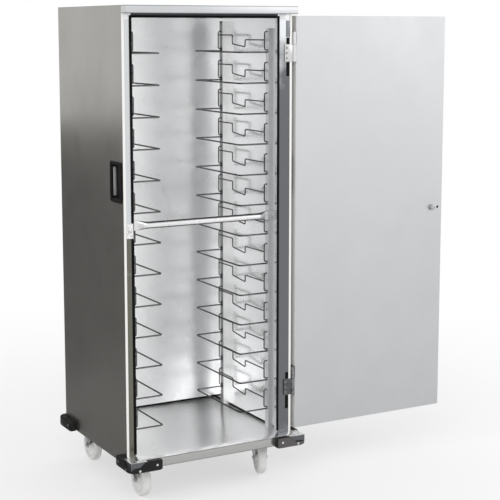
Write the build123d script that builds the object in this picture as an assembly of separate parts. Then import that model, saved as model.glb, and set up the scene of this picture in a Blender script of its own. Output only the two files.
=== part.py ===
from build123d import *
import math
import os

os.makedirs("parts", exist_ok=True)

# An enclosed rack for bun pans: a double-walled sheet steel cabinet with wire
# pan slides, one door and four braked swivel casters. All sizes are millimetres.
# X runs to the right seen from the front, Y to the back and Z up. The origin is
# on the floor under the middle of the cabinet body. The door is drawn swung
# open by half a turn, which is how it stands at rest.

# Cabinet body
HEIGHT = 1790.0
WIDTH = 686.0
DEPTH = 600.0
UNDERSIDE = 143.0
SHEET = 1.2
LINER = 1.0
SIDE_WALL = 36.0
BACK_WALL = 40.0
ROOF_WALL = 41.0
HEM = 9.3
BACK_FLANGE = 15.0

# Base platform with its front step, and the two channels under it
PLATFORM_SHEET = 1.5
PLATFORM_SKIRT = 34.0
PLATFORM_LIP = 60.0
LIP_ROUND = 8.0
CHANNEL_SHEET = 2.5
CHANNEL_HALF = 48.0
CHANNEL_BRIM = 18.0
CHANNEL_HEIGHT = 18.5
CHANNEL_END_GAP = 0.3

# Roof with its front lip
CANOPY_LIP = 45.0
CANOPY_SKIRT = 28.0

# Door frame
LATCH_STILE = 36.0
HINGE_STILE = 60.0
JAMB_DEPTH = 20.0
GASKET = 3.7
GASKET_WIDTH = 6.5
GASKET_CHAMFER = 1.2
GASKET_GAP = 2.0

# Wire pan slides and what carries them
LEVEL_PITCH = 114.3
FIRST_LEVEL = 74.0
UPRIGHT_DEPTH = 27.0
UPRIGHT_WIDTH = 25.0
UPRIGHT_SHEET = 1.5
FRONT_UPRIGHT = 60.0
RAIL_SPAN = 370.0
FRONT_UPRIGHT_DROP = 38.0
BACK_UPRIGHT_DROP = 10.0
SLOT_WIDTH = 7.0
RAIL_WIRE = 6.0
RAIL_HALF = 163.0
RAIL_BEND = 12.0
WIRE_END = 4.0
SLOT_PLAY = 0.5
WIRE_SIDES = 4
GUIDE_WIRE = 5.0
GUIDE_HALF = 268.0
GUIDE_LOW = 8.0
GUIDE_HIGH = 76.0
RIB_HALF = 20.0
RIB_BRIM = 12.0

# Cross bar in front of the uprights
BAR_Z = 1010.0
BAR_DIAMETER = 25.4
BAR_TAB = 3.5
BAR_TAB_HEIGHT = 38.0
BAR_FLARE = 30.0

# Door
DOOR_THICK = 38.0
DOOR_ROUND = 3.0
DOOR_LIFT = 5.0
DOOR_PLAY = 0.3
STIFFENER_HALF = 30.0
STIFFENER_BRIM = 15.0

# Hinges
PIN_OUT = 9.0
PIN_FORWARD = 3.0
PIN_DIAMETER = 8.0
PIN_PLAY = 0.05
BARREL_DIAMETER = 14.0
FRAME_BARREL = 62.0
DOOR_BARREL = 45.7
BARREL_GAP = 0.3
LEAF_REACH = 32.0
LEAF_SHEET = 2.7
DOOR_LEAF_DEPTH = 36.0
TOP_HINGE_DROP = 168.0
BOTTOM_HINGE_RISE = 136.0

# Latch
LATCH_Z = 1000.0
STUD_INSET = 20.0
SPINDLE_INSET = 50.0
STRIKE_SHEET = 1.7
STRIKE_HEIGHT = 52.0
STUD_HEAD = 9.0
STUD_NECK = 5.5
SPINDLE_DIAMETER = 10.0
CRANK_RADIUS = 14.0
CRANK_PIN = 5.0
CASE_WALL = 2.0
CASE_DEPTH = 16.0
CASE_HEIGHT = 100.0
BLADE_SHEET = 3.0
BLADE_DEPTH = 3.4
KNOB_DIAMETER = 22.0
KNOB_HEIGHT = 14.0
ROSETTE_DIAMETER = 40.0
ROSETTE_HEIGHT = 6.0
LEVER_LENGTH = 110.0
LEVER_STAND = 40.0

# Recessed side handles
HANDLE_Z = 1171.0
HANDLE_BACK = 60.0
HANDLE_HEIGHT = 147.0
HANDLE_WIDTH = 100.0
HANDLE_PROUD = 4.0
POCKET_HEIGHT = 118.0
POCKET_WIDTH = 72.0
POCKET_DEPTH = 27.0
POCKET_WALL = 2.0

# Corner bumpers
BUMPER_OUT = 26.0
BUMPER_ARM = 104.0
BUMPER_LOW = 138.0
BUMPER_HIGH = 178.0
BUMPER_ROUND = 30.0
BUMPER_END_ROUND = 12.0
CAP_SHEET = 2.0
CAP_REACH = 48.0
CAP_LOW = 150.0
CAP_HIGH = 176.0

# Casters
WHEEL_DIAMETER = 125.0
WHEEL_WIDTH = 32.0
HUB_HALF = 20.5
HUB_DIAMETER = 32.0
AXLE_DIAMETER = 10.0
AXLE_PLAY = 0.05
TRAIL = 38.0
CASTER_X = 258.0
CASTER_Y = 195.0
FORK_SHEET = 3.0
FORK_HALF = 24.0
FORK_TOP = 134.0
CUP_DIAMETER = 52.0
CUP_HEIGHT = 12.9
BOSS_DIAMETER = 58.0
BOSS_HEIGHT = 6.0
CASTER_PLATE = 3.5
PEDAL_X = 60.0
PEDAL_Z = 126.0
PEDAL_REACH = 118.0
PEDAL_WIDTH = 48.0
NUT_DIAMETER = 19.6
ROUND_SIDES = 20
CASTER_TURNS = {"fl": -90.0, "fr": -107.0, "bl": 90.0, "br": 84.0}

# Planes that several pieces share
SIDE = WIDTH / 2
SKIN = SIDE - SHEET
INNER = SIDE - SIDE_WALL
FRONT = -DEPTH / 2
BACK = DEPTH / 2
INNER_BACK = BACK - BACK_WALL
JAMB_BACK = FRONT + JAMB_DEPTH
FLOOR = UNDERSIDE + PLATFORM_SKIRT
ROOF = HEIGHT - SHEET
CEILING = HEIGHT - ROOF_WALL
LATCH_JAMB = -SIDE + LATCH_STILE
HINGE_JAMB = SIDE - HINGE_STILE
WEB = INNER - UPRIGHT_DEPTH
FRONT_LEG = FRONT + FRONT_UPRIGHT + UPRIGHT_WIDTH / 2
BACK_LEG = FRONT_LEG + RAIL_SPAN
TOP_ROOM = GUIDE_HIGH + GUIDE_WIRE
LEVEL_COUNT = int((CEILING - FLOOR - FIRST_LEVEL - TOP_ROOM) // LEVEL_PITCH) + 1
LEVELS = [FLOOR + FIRST_LEVEL + LEVEL_PITCH * i for i in range(LEVEL_COUNT)]


def block(x, y, z):
    """A box between the low and high ends given for each direction."""
    size = Box(x[1] - x[0], y[1] - y[0], z[1] - z[0], align=Align.MIN)
    return Pos(x[0], y[0], z[0]) * size


def sheet(points, gauge):
    """The cut end of a folded sheet; the metal lies to the right of the line."""
    line = Polyline(*points)
    rim = line.offset_2d(gauge, kind=Kind.INTERSECTION, side=Side.RIGHT)
    return make_face(rim.edges())


def standing(face, low, high):
    """A plan outline pulled up from one height to another."""
    return Pos(0, 0, low) * extrude(face, high - low)


def lengthwise(face, left, right):
    """A side outline, drawn as back and up, pulled from left to right."""
    return extrude(Plane.YZ.offset(left) * face, right - left)


def rod(diameter, low, high, sides=ROUND_SIDES):
    """A round bar along Z. Rounds have flat sides, to keep the facets few."""
    return Pos(0, 0, low) * extrude(RegularPolygon(diameter / 2, sides), high - low)


def bore(diameter, low, high):
    """The space of a round hole along Z, with its flats outside the diameter."""
    return rod(diameter / math.cos(math.pi / ROUND_SIDES), low, high)


def hat(half, brim, base, top, gauge):
    """The cut end of a hat section that stands between two skins."""
    foot = base + gauge
    left = [(-half - brim, foot), (-half, foot), (-half, top)]
    right = [(half, top), (half, foot), (half + brim, foot)]
    return sheet(left + right, gauge)


def wire(points, diameter):
    """A bent wire along a line of points, drawn with a few flat sides."""
    start = Vector(*points[0])
    heading = Vector(*points[1]) - start
    section = Plane(start, z_dir=heading) * RegularPolygon(diameter / 2, WIRE_SIDES)
    return sweep(section, path=Polyline(*points), transition=Transition.RIGHT)


def pair(shape):
    """A piece and its mirror image on the other side of the cabinet."""
    return [shape, mirror(shape, Plane.YZ)]


def save(name, shapes):
    """Writes the solids of one piece, or of one group of like pieces."""
    solids = [solid for shape in shapes for solid in shape.solids()]
    export_step(Compound(children=solids), f"parts/{name}.step")


# The platform is one pan, open below, with a step in front of the door
lip_front = FRONT - PLATFORM_LIP
hem_front = FRONT - SHEET
half_plan = [(0, lip_front), (SIDE, lip_front), (SIDE, hem_front), (SKIN, hem_front)]
half_plan += [(SKIN, BACK - SHEET), (0, BACK - SHEET)]
other_half = [(-x, y) for x, y in reversed(half_plan[1:-1])]
platform = standing(make_face(Polyline(*half_plan, *other_half, close=True)), UNDERSIDE, FLOOR)
front_corners = platform.edges().filter_by(Axis.Z).group_by(Axis.Y)[0]
platform = fillet(front_corners, LIP_ROUND)
underside = platform.faces().sort_by(Axis.Z)[0]
save("base_platform", [offset(platform, amount=-PLATFORM_SHEET, openings=underside)])

# Two hat channels under the platform carry the casters
channel_top = FLOOR - PLATFORM_SHEET
channel_low = channel_top - CHANNEL_HEIGHT
inside = CHANNEL_HALF - CHANNEL_SHEET
web_z = channel_low + CHANNEL_SHEET
rising = [(-inside - CHANNEL_BRIM, channel_top), (-inside, channel_top), (-inside, web_z)]
falling = [(-y, z) for y, z in reversed(rising)]
channel_half = SKIN - PLATFORM_SHEET - CHANNEL_END_GAP
channel = lengthwise(sheet(rising + falling, CHANNEL_SHEET), -channel_half, channel_half)
save("base_channels", [Pos(0, y, 0) * channel for y in (-CASTER_Y, CASTER_Y)])

# Outer side panels: a folded front hem, and a window for the recessed handle
handle_y = FRONT + HANDLE_BACK
side_skin = block((SKIN, SIDE), (hem_front, BACK), (UNDERSIDE, ROOF))
side_skin += block((SIDE - HEM, SKIN), (hem_front, FRONT), (FLOOR, ROOF))
window_y = POCKET_WIDTH / 2 + POCKET_WALL + 1
window_z = POCKET_HEIGHT / 2 + POCKET_WALL + 1
window = ((handle_y - window_y, handle_y + window_y), (HANDLE_Z - window_z, HANDLE_Z + window_z))
side_skin -= block((SKIN - 1, SIDE + 1), *window)
right_skin, left_skin = pair(side_skin)
save("side_panel_right", [right_skin])
save("side_panel_left", [left_skin])

# Outer back panel, with flanges against the side panels above the platform
back_line = [(-SKIN, BACK - SHEET - BACK_FLANGE), (-SKIN, BACK), (SKIN, BACK)]
back_line += [(SKIN, BACK - SHEET - BACK_FLANGE)]
back_panel = standing(sheet(back_line, SHEET), FLOOR, ROOF)
back_panel += block((-SKIN, SKIN), (BACK - SHEET, BACK), (UNDERSIDE, FLOOR))
save("back_panel", [back_panel])

# Roof sheet folded down and back into a lip over the door
canopy_front = FRONT - CANOPY_LIP
soffit = HEIGHT - CANOPY_SKIRT
roof_line = [(hem_front, soffit), (canopy_front, soffit), (canopy_front, HEIGHT), (BACK, HEIGHT)]
canopy = lengthwise(sheet(roof_line, SHEET), -SIDE, SIDE)
cheek = block((SKIN, SIDE), (canopy_front + SHEET, hem_front), (soffit + SHEET, ROOF))
save("roof_canopy", [canopy + pair(cheek)])

# Inner skins
liner = block((INNER, INNER + LINER), (JAMB_BACK, INNER_BACK + LINER), (FLOOR, CEILING))
right_liner, left_liner = pair(liner)
save("liner_right", [right_liner])
save("liner_left", [left_liner])
save("liner_back", [block((-INNER, INNER), (INNER_BACK, INNER_BACK + LINER), (FLOOR, CEILING))])
ceiling_x = (-INNER - LINER, INNER + LINER)
ceiling_y = (JAMB_BACK, INNER_BACK + LINER)
save("ceiling_liner", [block(ceiling_x, ceiling_y, (CEILING, CEILING + LINER))])

# Recessed handles: an open tub behind a rounded bezel, shaped along Z first
tub_depth = POCKET_DEPTH + POCKET_WALL - HANDLE_PROUD
tub = extrude(RectangleRounded(HANDLE_HEIGHT, HANDLE_WIDTH, 10), HANDLE_PROUD)
outside = Rectangle(POCKET_HEIGHT + 2 * POCKET_WALL, POCKET_WIDTH + 2 * POCKET_WALL)
tub += extrude(outside, -tub_depth)
mouth = Pos(0, 0, HANDLE_PROUD) * Rectangle(POCKET_HEIGHT, POCKET_WIDTH)
tub -= extrude(mouth, -POCKET_DEPTH)
right_tub, left_tub = pair(Pos(SIDE, handle_y, HANDLE_Z) * Rot(0, 90, 0) * tub)
save("side_handle_right", [right_tub])
save("side_handle_left", [left_tub])

# Hat ribs between the skins behind the uprights, cut away round the tubs
rib_plane = Plane(origin=(0, 0, ROOF), x_dir=(0, 1, 0), z_dir=(0, 0, -1))
rib_face = hat(RIB_HALF, RIB_BRIM, INNER + LINER, SKIN, LINER)
front_rib = extrude(rib_plane * Pos(FRONT_LEG, 0) * rib_face, ROOF - FLOOR)
back_rib = extrude(rib_plane * Pos(BACK_LEG, 0) * rib_face, ROOF - FLOOR)
front_rib -= block((SIDE - tub_depth - 2, SIDE), *window)
save("wall_ribs", pair(front_rib) + pair(back_rib))

# Door frame: an open channel on the latch side, a closed tube on the hinge side
latch_line = [(-SKIN, JAMB_BACK), (LATCH_JAMB, JAMB_BACK), (LATCH_JAMB, FRONT), (-SKIN, FRONT)]
save("latch_post", [standing(sheet(latch_line, SHEET), FLOOR, ROOF)])
tube = block((HINGE_JAMB, SKIN), (FRONT, JAMB_BACK), (FLOOR, ROOF))
tube_inside = (HINGE_JAMB + SHEET, SKIN - SHEET), (FRONT + SHEET, JAMB_BACK - SHEET)
save("hinge_post", [tube - block(*tube_inside, (FLOOR, ROOF))])
header_line = [(JAMB_BACK, CEILING), (FRONT, CEILING), (FRONT, ROOF)]
save("door_header", [lengthwise(sheet(header_line, SHEET), LATCH_JAMB, HINGE_JAMB)])

# Rubber gasket round the opening, left out at the strike plate
door_low = FLOOR + DOOR_LIFT
seal_y = (FRONT - GASKET, FRONT)
seal_top = CEILING + GASKET_WIDTH
strike_low = LATCH_Z - STRIKE_HEIGHT / 2 - GASKET_GAP
strike_high = LATCH_Z + STRIKE_HEIGHT / 2 + GASKET_GAP
latch_seal = (LATCH_JAMB - GASKET_WIDTH, LATCH_JAMB)
hinge_seal = (HINGE_JAMB, HINGE_JAMB + GASKET_WIDTH)
low_seal = block(latch_seal, seal_y, (door_low, strike_low))
top_seal = block(latch_seal, seal_y, (strike_high, seal_top))
top_seal += block((latch_seal[0], hinge_seal[1]), seal_y, (CEILING, seal_top))
top_seal += block(hinge_seal, seal_y, (door_low, seal_top))
seals = []
for seal in (low_seal, top_seal):
    front_edges = seal.faces().sort_by(Axis.Y)[0].outer_wire().edges()
    seals.append(chamfer(front_edges, GASKET_CHAMFER))
save("door_gasket", seals)

# Uprights: channels open to the wall, slotted at every level
slot_low = RAIL_WIRE / 2 + SLOT_PLAY
slot_high = GUIDE_LOW + GUIDE_WIRE / 2 + SLOT_PLAY
slots = []
for leg in (FRONT_LEG, BACK_LEG):
    for z in LEVELS:
        slot_y = (leg - SLOT_WIDTH / 2, leg + SLOT_WIDTH / 2)
        slots.append(block((WEB - 1, WEB + 3), slot_y, (z - slot_low, z + slot_high)))
uprights = []
for leg, top in ((FRONT_LEG, CEILING - FRONT_UPRIGHT_DROP), (BACK_LEG, CEILING - BACK_UPRIGHT_DROP)):
    near = leg - UPRIGHT_WIDTH / 2
    far = leg + UPRIGHT_WIDTH / 2
    upright_line = [(INNER, near), (WEB, near), (WEB, far), (INNER, far)]
    uprights += pair(standing(sheet(upright_line, UPRIGHT_SHEET), FLOOR, top) - slots)
save("rack_uprights", uprights)

# Wire rails: one long run and two legs that enter the upright slots
wire_end = WEB + UPRIGHT_SHEET + WIRE_END
front_half = [(wire_end, FRONT_LEG, 0), (RAIL_HALF + RAIL_BEND, FRONT_LEG, 0)]
front_half += [(RAIL_HALF, FRONT_LEG + RAIL_BEND, 0)]
back_half = [(x, FRONT_LEG + BACK_LEG - y, z) for x, y, z in reversed(front_half)]
rail = wire(front_half + back_half, RAIL_WIRE)
right_rail, left_rail = pair(rail)
save("pan_rails_right", [Pos(0, 0, z) * right_rail for z in LEVELS])
save("pan_rails_left", [Pos(0, 0, z) * left_rail for z in LEVELS])

# Wire guides beside the pans: a stepped run between two upright hoops
hook_line = [(wire_end, 0, GUIDE_LOW), (GUIDE_HALF, 0, GUIDE_LOW)]
hook_line += [(GUIDE_HALF, 0, GUIDE_HIGH), (WEB, 0, GUIDE_HIGH)]
hook = wire(hook_line, GUIDE_WIRE)
first_step = FRONT_LEG + RAIL_SPAN * 0.405
second_step = FRONT_LEG + RAIL_SPAN * 0.682
steps = [(FRONT_LEG, 45), (first_step, 45), (first_step, 18)]
steps += [(second_step, 28), (second_step, 62), (BACK_LEG, 62)]
run = wire([(GUIDE_HALF, y, z) for y, z in steps], GUIDE_WIRE)
guide = run + Pos(0, FRONT_LEG, 0) * hook + Pos(0, BACK_LEG, 0) * hook
right_guide, left_guide = pair(guide)
save("pan_guides_right", [Pos(0, 0, z) * right_guide for z in LEVELS])
save("pan_guides_left", [Pos(0, 0, z) * left_guide for z in LEVELS])

# Cross bar: a tube whose ends are pressed flat on to the uprights
bar_back = FRONT + FRONT_UPRIGHT


def bar_section(left, thick, tall):
    """The bar's outline at one place along it, with its back on the uprights."""
    turns = [2 * math.pi * i / ROUND_SIDES for i in range(ROUND_SIDES)]
    points = [(bar_back - thick / 2 * (1 + math.cos(t)), BAR_Z + tall / 2 * math.sin(t))
              for t in turns]
    return Plane.YZ.offset(left) * make_face(Polyline(*points, close=True))


round_end = bar_section(WEB - BAR_FLARE, BAR_DIAMETER, BAR_DIAMETER)
flat_end = bar_section(WEB, BAR_TAB, BAR_TAB_HEIGHT)
bar_half = extrude(round_end, -(WEB - BAR_FLARE)) + loft([round_end, flat_end], ruled=True)
bar_half += extrude(flat_end, UPRIGHT_DEPTH - SLOT_PLAY)
save("cross_bar", [bar_half + mirror(bar_half, Plane.YZ)])

# Rubber bumpers round the four corners, steel caps let into the front two
def bumper_plan(thick):
    """One corner bumper seen from above, at the right front corner."""
    start = SIDE - BUMPER_ARM
    end = lip_front + BUMPER_ARM
    near = lip_front - thick
    line = [(start, lip_front), (start, near), (SIDE + thick, near)]
    line += [(SIDE + thick, end), (SIDE, end), (SIDE, lip_front)]
    plan = make_face(Polyline(*line, close=True))
    outer = plan.vertices().sort_by(lambda v: v.Y - v.X)[0]
    plan = fillet(outer, BUMPER_ROUND + thick - BUMPER_OUT)
    ends = [v for v in plan.vertices() if abs(v.X - start) < 0.1 and v.Y < lip_front - 1]
    ends += [v for v in plan.vertices() if abs(v.Y - end) < 0.1 and v.X > SIDE + 1]
    return fillet(ends, BUMPER_END_ROUND)


bumper = standing(bumper_plan(BUMPER_OUT), BUMPER_LOW, BUMPER_HIGH)
back_bumper = Pos(0, BACK + lip_front, 0) * mirror(bumper, Plane.XZ)
corner_x = (SIDE + BUMPER_OUT - CAP_REACH, SIDE + BUMPER_OUT + 1)
corner_y = (lip_front - BUMPER_OUT - 1, lip_front - BUMPER_OUT + CAP_REACH)
corner = block(corner_x, corner_y, (CAP_LOW, CAP_HIGH))
core = standing(bumper_plan(BUMPER_OUT - CAP_SHEET), BUMPER_LOW, BUMPER_HIGH)
cap = (bumper - core) & corner
save("corner_bumpers_front", pair(bumper - cap))
save("corner_bumpers_back", pair(back_bumper))
save("corner_caps", pair(cap))

# Hinges: frame leaves stepped over the side panel's hem, loose pins, door leaves
pin_x = SIDE + PIN_OUT
pin_y = FRONT - PIN_FORWARD
door_high = CEILING + SHEET + GASKET_WIDTH
hinge_feet = (door_low + BOTTOM_HINGE_RISE, door_high - TOP_HINGE_DROP)
closed_y = FRONT - GASKET - DOOR_PLAY
leaf_y = FRONT - GASKET
frame_leaves = []
door_leaves = []
pins = []
for foot in hinge_feet:
    top = foot + FRAME_BARREL
    leaf = block((SIDE - LEAF_REACH, SIDE - HEM - 0.3), (leaf_y, FRONT), (foot, top))
    leaf += block((SIDE - HEM - 0.3, pin_x), (leaf_y, hem_front), (foot, top))
    leaf += Pos(pin_x, pin_y, foot) * rod(BARREL_DIAMETER, 0, FRAME_BARREL)
    leaf -= Pos(pin_x, pin_y, foot) * rod(PIN_DIAMETER, 0, FRAME_BARREL)
    frame_leaves.append(leaf)
    low = top + BARREL_GAP
    high = low + DOOR_BARREL
    edge_x = 2 * pin_x - SIDE
    face_y = 2 * pin_y - closed_y
    arm_y = (face_y - LEAF_SHEET + 0.2, face_y)
    leaf = block((pin_x, edge_x), arm_y, (low, high))
    leaf += block((edge_x - LEAF_SHEET, edge_x), (arm_y[0], face_y + DOOR_LEAF_DEPTH), (low, high))
    leaf += Pos(pin_x, pin_y, low) * rod(BARREL_DIAMETER, 0, DOOR_BARREL)
    leaf -= Pos(pin_x, pin_y, low) * bore(PIN_DIAMETER + 2 * PIN_PLAY, 0, DOOR_BARREL)
    door_leaves.append(leaf)
    pins.append(Pos(pin_x, pin_y, 0) * rod(PIN_DIAMETER, foot - 2, high + 2))
save("hinge_frame_leaves", frame_leaves)
save("hinge_door_leaves", door_leaves)
save("hinge_pins", pins)

# The door is drawn lying along X from its hinge edge, its depth along Y
door_place = Pos(edge_x, face_y, 0)
spindle_x = WIDTH - SPINDLE_INSET
stud_x = WIDTH - STUD_INSET
along_door = Rot(-90, 0, 0)
at_spindle = Pos(spindle_x, 0, LATCH_Z) * along_door
at_stud = Pos(stud_x, 0, LATCH_Z) * along_door
loose_hole = at_spindle * bore(SPINDLE_DIAMETER + 2, -1, DOOR_THICK + 1)
spindle_hole = bore(SPINDLE_DIAMETER + 0.6, 0, 2 * DOOR_THICK)
skin = block((0, WIDTH), (0, DOOR_THICK), (door_low, door_high))
skin = fillet(skin.faces().sort_by(Axis.Y)[-1].edges(), DOOR_ROUND)
skin = offset(skin, amount=-SHEET, openings=skin.faces().sort_by(Axis.Y)[0])
save("door_outer_skin", [door_place * (skin - loose_hole)])
inner_z = (door_low + SHEET, door_high - SHEET)
inner_skin = block((SHEET, WIDTH - SHEET), (0, LINER), inner_z)
inner_skin -= at_stud * bore(STUD_HEAD + 6, -1, 2 * LINER)
save("door_inner_skin", [door_place * (inner_skin - loose_hole)])
stiffener = standing(hat(STIFFENER_HALF, STIFFENER_BRIM, LINER, DOOR_THICK - SHEET, LINER),
                     door_low + 20, door_high - 20)
save("door_stiffeners", [door_place * Pos(WIDTH * part, 0, 0) * stiffener for part in (0.3, 0.65)])

# Strike plate and keeper stud on the latch post
strike_x = (-SIDE + HEM + 0.3, LATCH_JAMB)
strike_z = (LATCH_Z - STRIKE_HEIGHT / 2, LATCH_Z + STRIKE_HEIGHT / 2)
strike = block(strike_x, (FRONT - STRIKE_SHEET, FRONT), strike_z)
save("strike_plate", [fillet(strike.edges().filter_by(Axis.Y), 3)])
neck_low = FRONT - STRIKE_SHEET - closed_y + 3.2
neck_high = neck_low + 3.8
stud = rod(STUD_HEAD, 0, neck_low) + rod(STUD_NECK, neck_low, neck_high)
stud += rod(STUD_HEAD, neck_high, neck_high + 4.2)
stud_place = Pos(-SIDE + STUD_INSET, FRONT - STRIKE_SHEET, LATCH_Z) * Rot(90, 0, 0)
save("keeper_stud", [stud_place * stud])

# Latch case on the back of the inner skin, drawn about the spindle
case_x = (spindle_x - 12, WIDTH - 3)
case_z = (LATCH_Z - CASE_HEIGHT / 2, LATCH_Z + CASE_HEIGHT / 2)
case = block(case_x, (LINER, LINER + CASE_DEPTH), case_z)
case = offset(case, amount=-CASE_WALL, openings=case.faces().sort_by(Axis.Y)[0])
save("latch_case", [door_place * (case - at_spindle * spindle_hole)])

# The blade has a keyhole for the stud and an open slot for the crank pin
travel = CRANK_RADIUS * math.sqrt(2)
pin_rise = travel / 2
blade_x = (spindle_x + SPINDLE_DIAMETER / 2 + 2, WIDTH - 6)
blade_y = (BLADE_DEPTH, BLADE_DEPTH + BLADE_SHEET)
blade = block(blade_x, blade_y, (LATCH_Z - 12, LATCH_Z + travel + 10))
neck_slot = STUD_NECK + 1
blade -= at_stud * bore(STUD_HEAD + 3, 0, 2 * BLADE_DEPTH)
blade -= Pos(0, 0, travel) * at_stud * bore(neck_slot, 0, 2 * BLADE_DEPTH)
blade -= block((stud_x - neck_slot / 2, stud_x + neck_slot / 2), (0, 2 * BLADE_DEPTH),
               (LATCH_Z, LATCH_Z + travel))
pin_slot = (LATCH_Z + pin_rise - CRANK_PIN / 2 - 0.6, LATCH_Z + pin_rise + CRANK_PIN / 2 + 0.6)
pin_reach = spindle_x + CRANK_RADIUS + CRANK_PIN / 2 + 1
blade -= block((spindle_x, pin_reach), (0, 2 * BLADE_DEPTH), pin_slot)
save("latch_blade", [door_place * blade])

# Spindle with its crank, the inner release knob, the rose and the outer lever
spindle_place = door_place * at_spindle
knob_seat = 1 - KNOB_HEIGHT
lever_top = DOOR_THICK + LEVER_STAND
crank_low = BLADE_DEPTH + BLADE_SHEET + 1.6
spindle = rod(SPINDLE_DIAMETER, knob_seat, lever_top - 3)
arm = Pos(CRANK_RADIUS / 2, 0, crank_low) * extrude(SlotCenterToCenter(CRANK_RADIUS, 8), 4)
crank_pin = Pos(CRANK_RADIUS, 0, 0) * rod(CRANK_PIN, 3, crank_low)
spindle += Rot(0, 0, -45) * (arm + crank_pin)
save("latch_spindle", [spindle_place * spindle])
knob = rod(KNOB_DIAMETER, -KNOB_HEIGHT, -0.3)
knob = chamfer(knob.faces().sort_by(Axis.Z)[0].edges(), 2)
knob -= rod(SPINDLE_DIAMETER, knob_seat, 0)
save("release_knob", [spindle_place * knob])
rose_high = DOOR_THICK + ROSETTE_HEIGHT
rosette = rod(ROSETTE_DIAMETER, DOOR_THICK, rose_high) - spindle_hole
save("latch_rosette", [spindle_place * rosette])
lever_low = rose_high + 0.3
lever = rod(20, lever_low, lever_top - 9)
grip = SlotCenterToCenter(LEVER_LENGTH - 18, 18)
lever += extrude(Pos(9 - LEVER_LENGTH / 2, 0, lever_top - 10) * grip, 10)
lever -= rod(SPINDLE_DIAMETER, lever_low, lever_top - 3)
save("latch_handle", [spindle_place * lever])

# One caster, drawn about its swivel axis with the wheel trailing along X
wheel_radius = WHEEL_DIAMETER / 2
across = Rot(90, 0, 0)
wheel = rod(WHEEL_DIAMETER, -WHEEL_WIDTH / 2, WHEEL_WIDTH / 2, 2 * ROUND_SIDES)
wheel += rod(HUB_DIAMETER, -HUB_HALF, HUB_HALF)
wheel -= bore(AXLE_DIAMETER + 2 * AXLE_PLAY, -HUB_HALF, HUB_HALF)
wheel = Pos(TRAIL, 0, wheel_radius) * across * wheel

# Fork: bent sheet legs under a head, and a round cup that turns on the plate
leg_line = [(-26, 134), (-26, 116), (26, 60), (32, 50.5), (44, 50.5), (50, 60)]
leg_line += [(66, 120), (66, 129), (62, 132), (26, 134)]
outline = make_face(Polyline(*leg_line, close=True))
fork = extrude(Plane.XZ * outline, FORK_HALF, both=True)
leg_inside = FORK_HALF - FORK_SHEET
reach = (-CUP_DIAMETER, 2 * PEDAL_X)
fork -= block(reach, (-leg_inside, leg_inside), (0, FORK_TOP - FORK_SHEET))
fork += rod(CUP_DIAMETER, FORK_TOP, FORK_TOP + CUP_HEIGHT)
axle = rod(AXLE_DIAMETER, -FORK_HALF, FORK_HALF)
axle += rod(NUT_DIAMETER, FORK_HALF, FORK_HALF + 6, 6)
axle += rod(NUT_DIAMETER, -FORK_HALF - 6, -FORK_HALF, 6)
fork += Pos(TRAIL, 0, wheel_radius) * across * axle

# Brake pedal: a rocker with its shoe between the legs and a wider foot plate
rocker_line = [(-3.5, 2.5), (8, 3), (12, 5), (18, 5), (18, -5), (10, -4.2), (-2, -2.5)]
rocker = make_face(Plane.XZ * Polyline(*rocker_line, close=True))
rocker = extrude(rocker, leg_inside - 0.6, both=True)
foot = PEDAL_REACH - PEDAL_X
half_pedal = PEDAL_WIDTH / 2
plate_line = [(10, -half_pedal), (foot - 8, -half_pedal), (foot, 8 - half_pedal)]
plate_line += [(x, -y) for x, y in reversed(plate_line)]
plate = Pos(0, 0, 4) * extrude(make_face(Polyline(*plate_line, close=True)), 3)
pedal = Pos(PEDAL_X, 0, PEDAL_Z) * (rocker + plate)

# The fixed half: a plate with cut corners over a raised ring
plate_low = channel_low - CASTER_PLATE
top_plate = block((-50, 50), (-42.5, 42.5), (plate_low, channel_low))
top_plate = chamfer(top_plate.edges().filter_by(Axis.Z), 6)
top_plate += rod(BOSS_DIAMETER, plate_low - BOSS_HEIGHT, plate_low)

places = {"fl": (-CASTER_X, -CASTER_Y), "fr": (CASTER_X, -CASTER_Y),
          "bl": (-CASTER_X, CASTER_Y), "br": (CASTER_X, CASTER_Y)}
save("caster_plates", [Pos(x, y, 0) * top_plate for x, y in places.values()])
for name, (x, y) in places.items():
    place = Pos(x, y, 0) * Rot(0, 0, CASTER_TURNS[name])
    save(f"caster_fork_{name}", [place * fork])
    save(f"caster_wheel_{name}", [place * wheel])
    save(f"brake_pedal_{name}", [place * pedal])
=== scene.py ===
import math

import bmesh
import bpy
from bpy.props import FloatProperty, FloatVectorProperty, IntProperty, PointerProperty
from bpy.types import Operator, Panel, PropertyGroup
from mathutils import Matrix, Vector


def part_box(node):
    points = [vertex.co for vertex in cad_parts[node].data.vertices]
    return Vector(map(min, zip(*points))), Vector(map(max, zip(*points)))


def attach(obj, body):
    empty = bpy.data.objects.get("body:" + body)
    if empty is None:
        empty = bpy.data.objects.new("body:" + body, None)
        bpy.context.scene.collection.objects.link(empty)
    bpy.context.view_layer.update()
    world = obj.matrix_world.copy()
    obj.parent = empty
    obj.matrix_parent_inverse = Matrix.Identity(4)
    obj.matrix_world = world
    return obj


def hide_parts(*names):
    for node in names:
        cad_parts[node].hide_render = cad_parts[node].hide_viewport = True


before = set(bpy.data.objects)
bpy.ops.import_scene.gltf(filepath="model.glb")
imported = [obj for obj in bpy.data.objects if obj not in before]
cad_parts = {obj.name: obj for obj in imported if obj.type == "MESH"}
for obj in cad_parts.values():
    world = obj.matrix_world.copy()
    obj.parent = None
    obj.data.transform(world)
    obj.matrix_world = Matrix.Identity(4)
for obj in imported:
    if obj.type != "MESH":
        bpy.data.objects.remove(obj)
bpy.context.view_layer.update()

bl_info = {
    "name": "Enclosed Bun Pan Rack",
    "version": (1, 0, 0),
    "blender": (4, 5, 0),
    "location": "3D View > Sidebar > Pan Rack",
    "description": "Wires, casters, fittings, finishes and a studio for an enclosed bun pan rack",
    "category": "Object",
}

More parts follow.
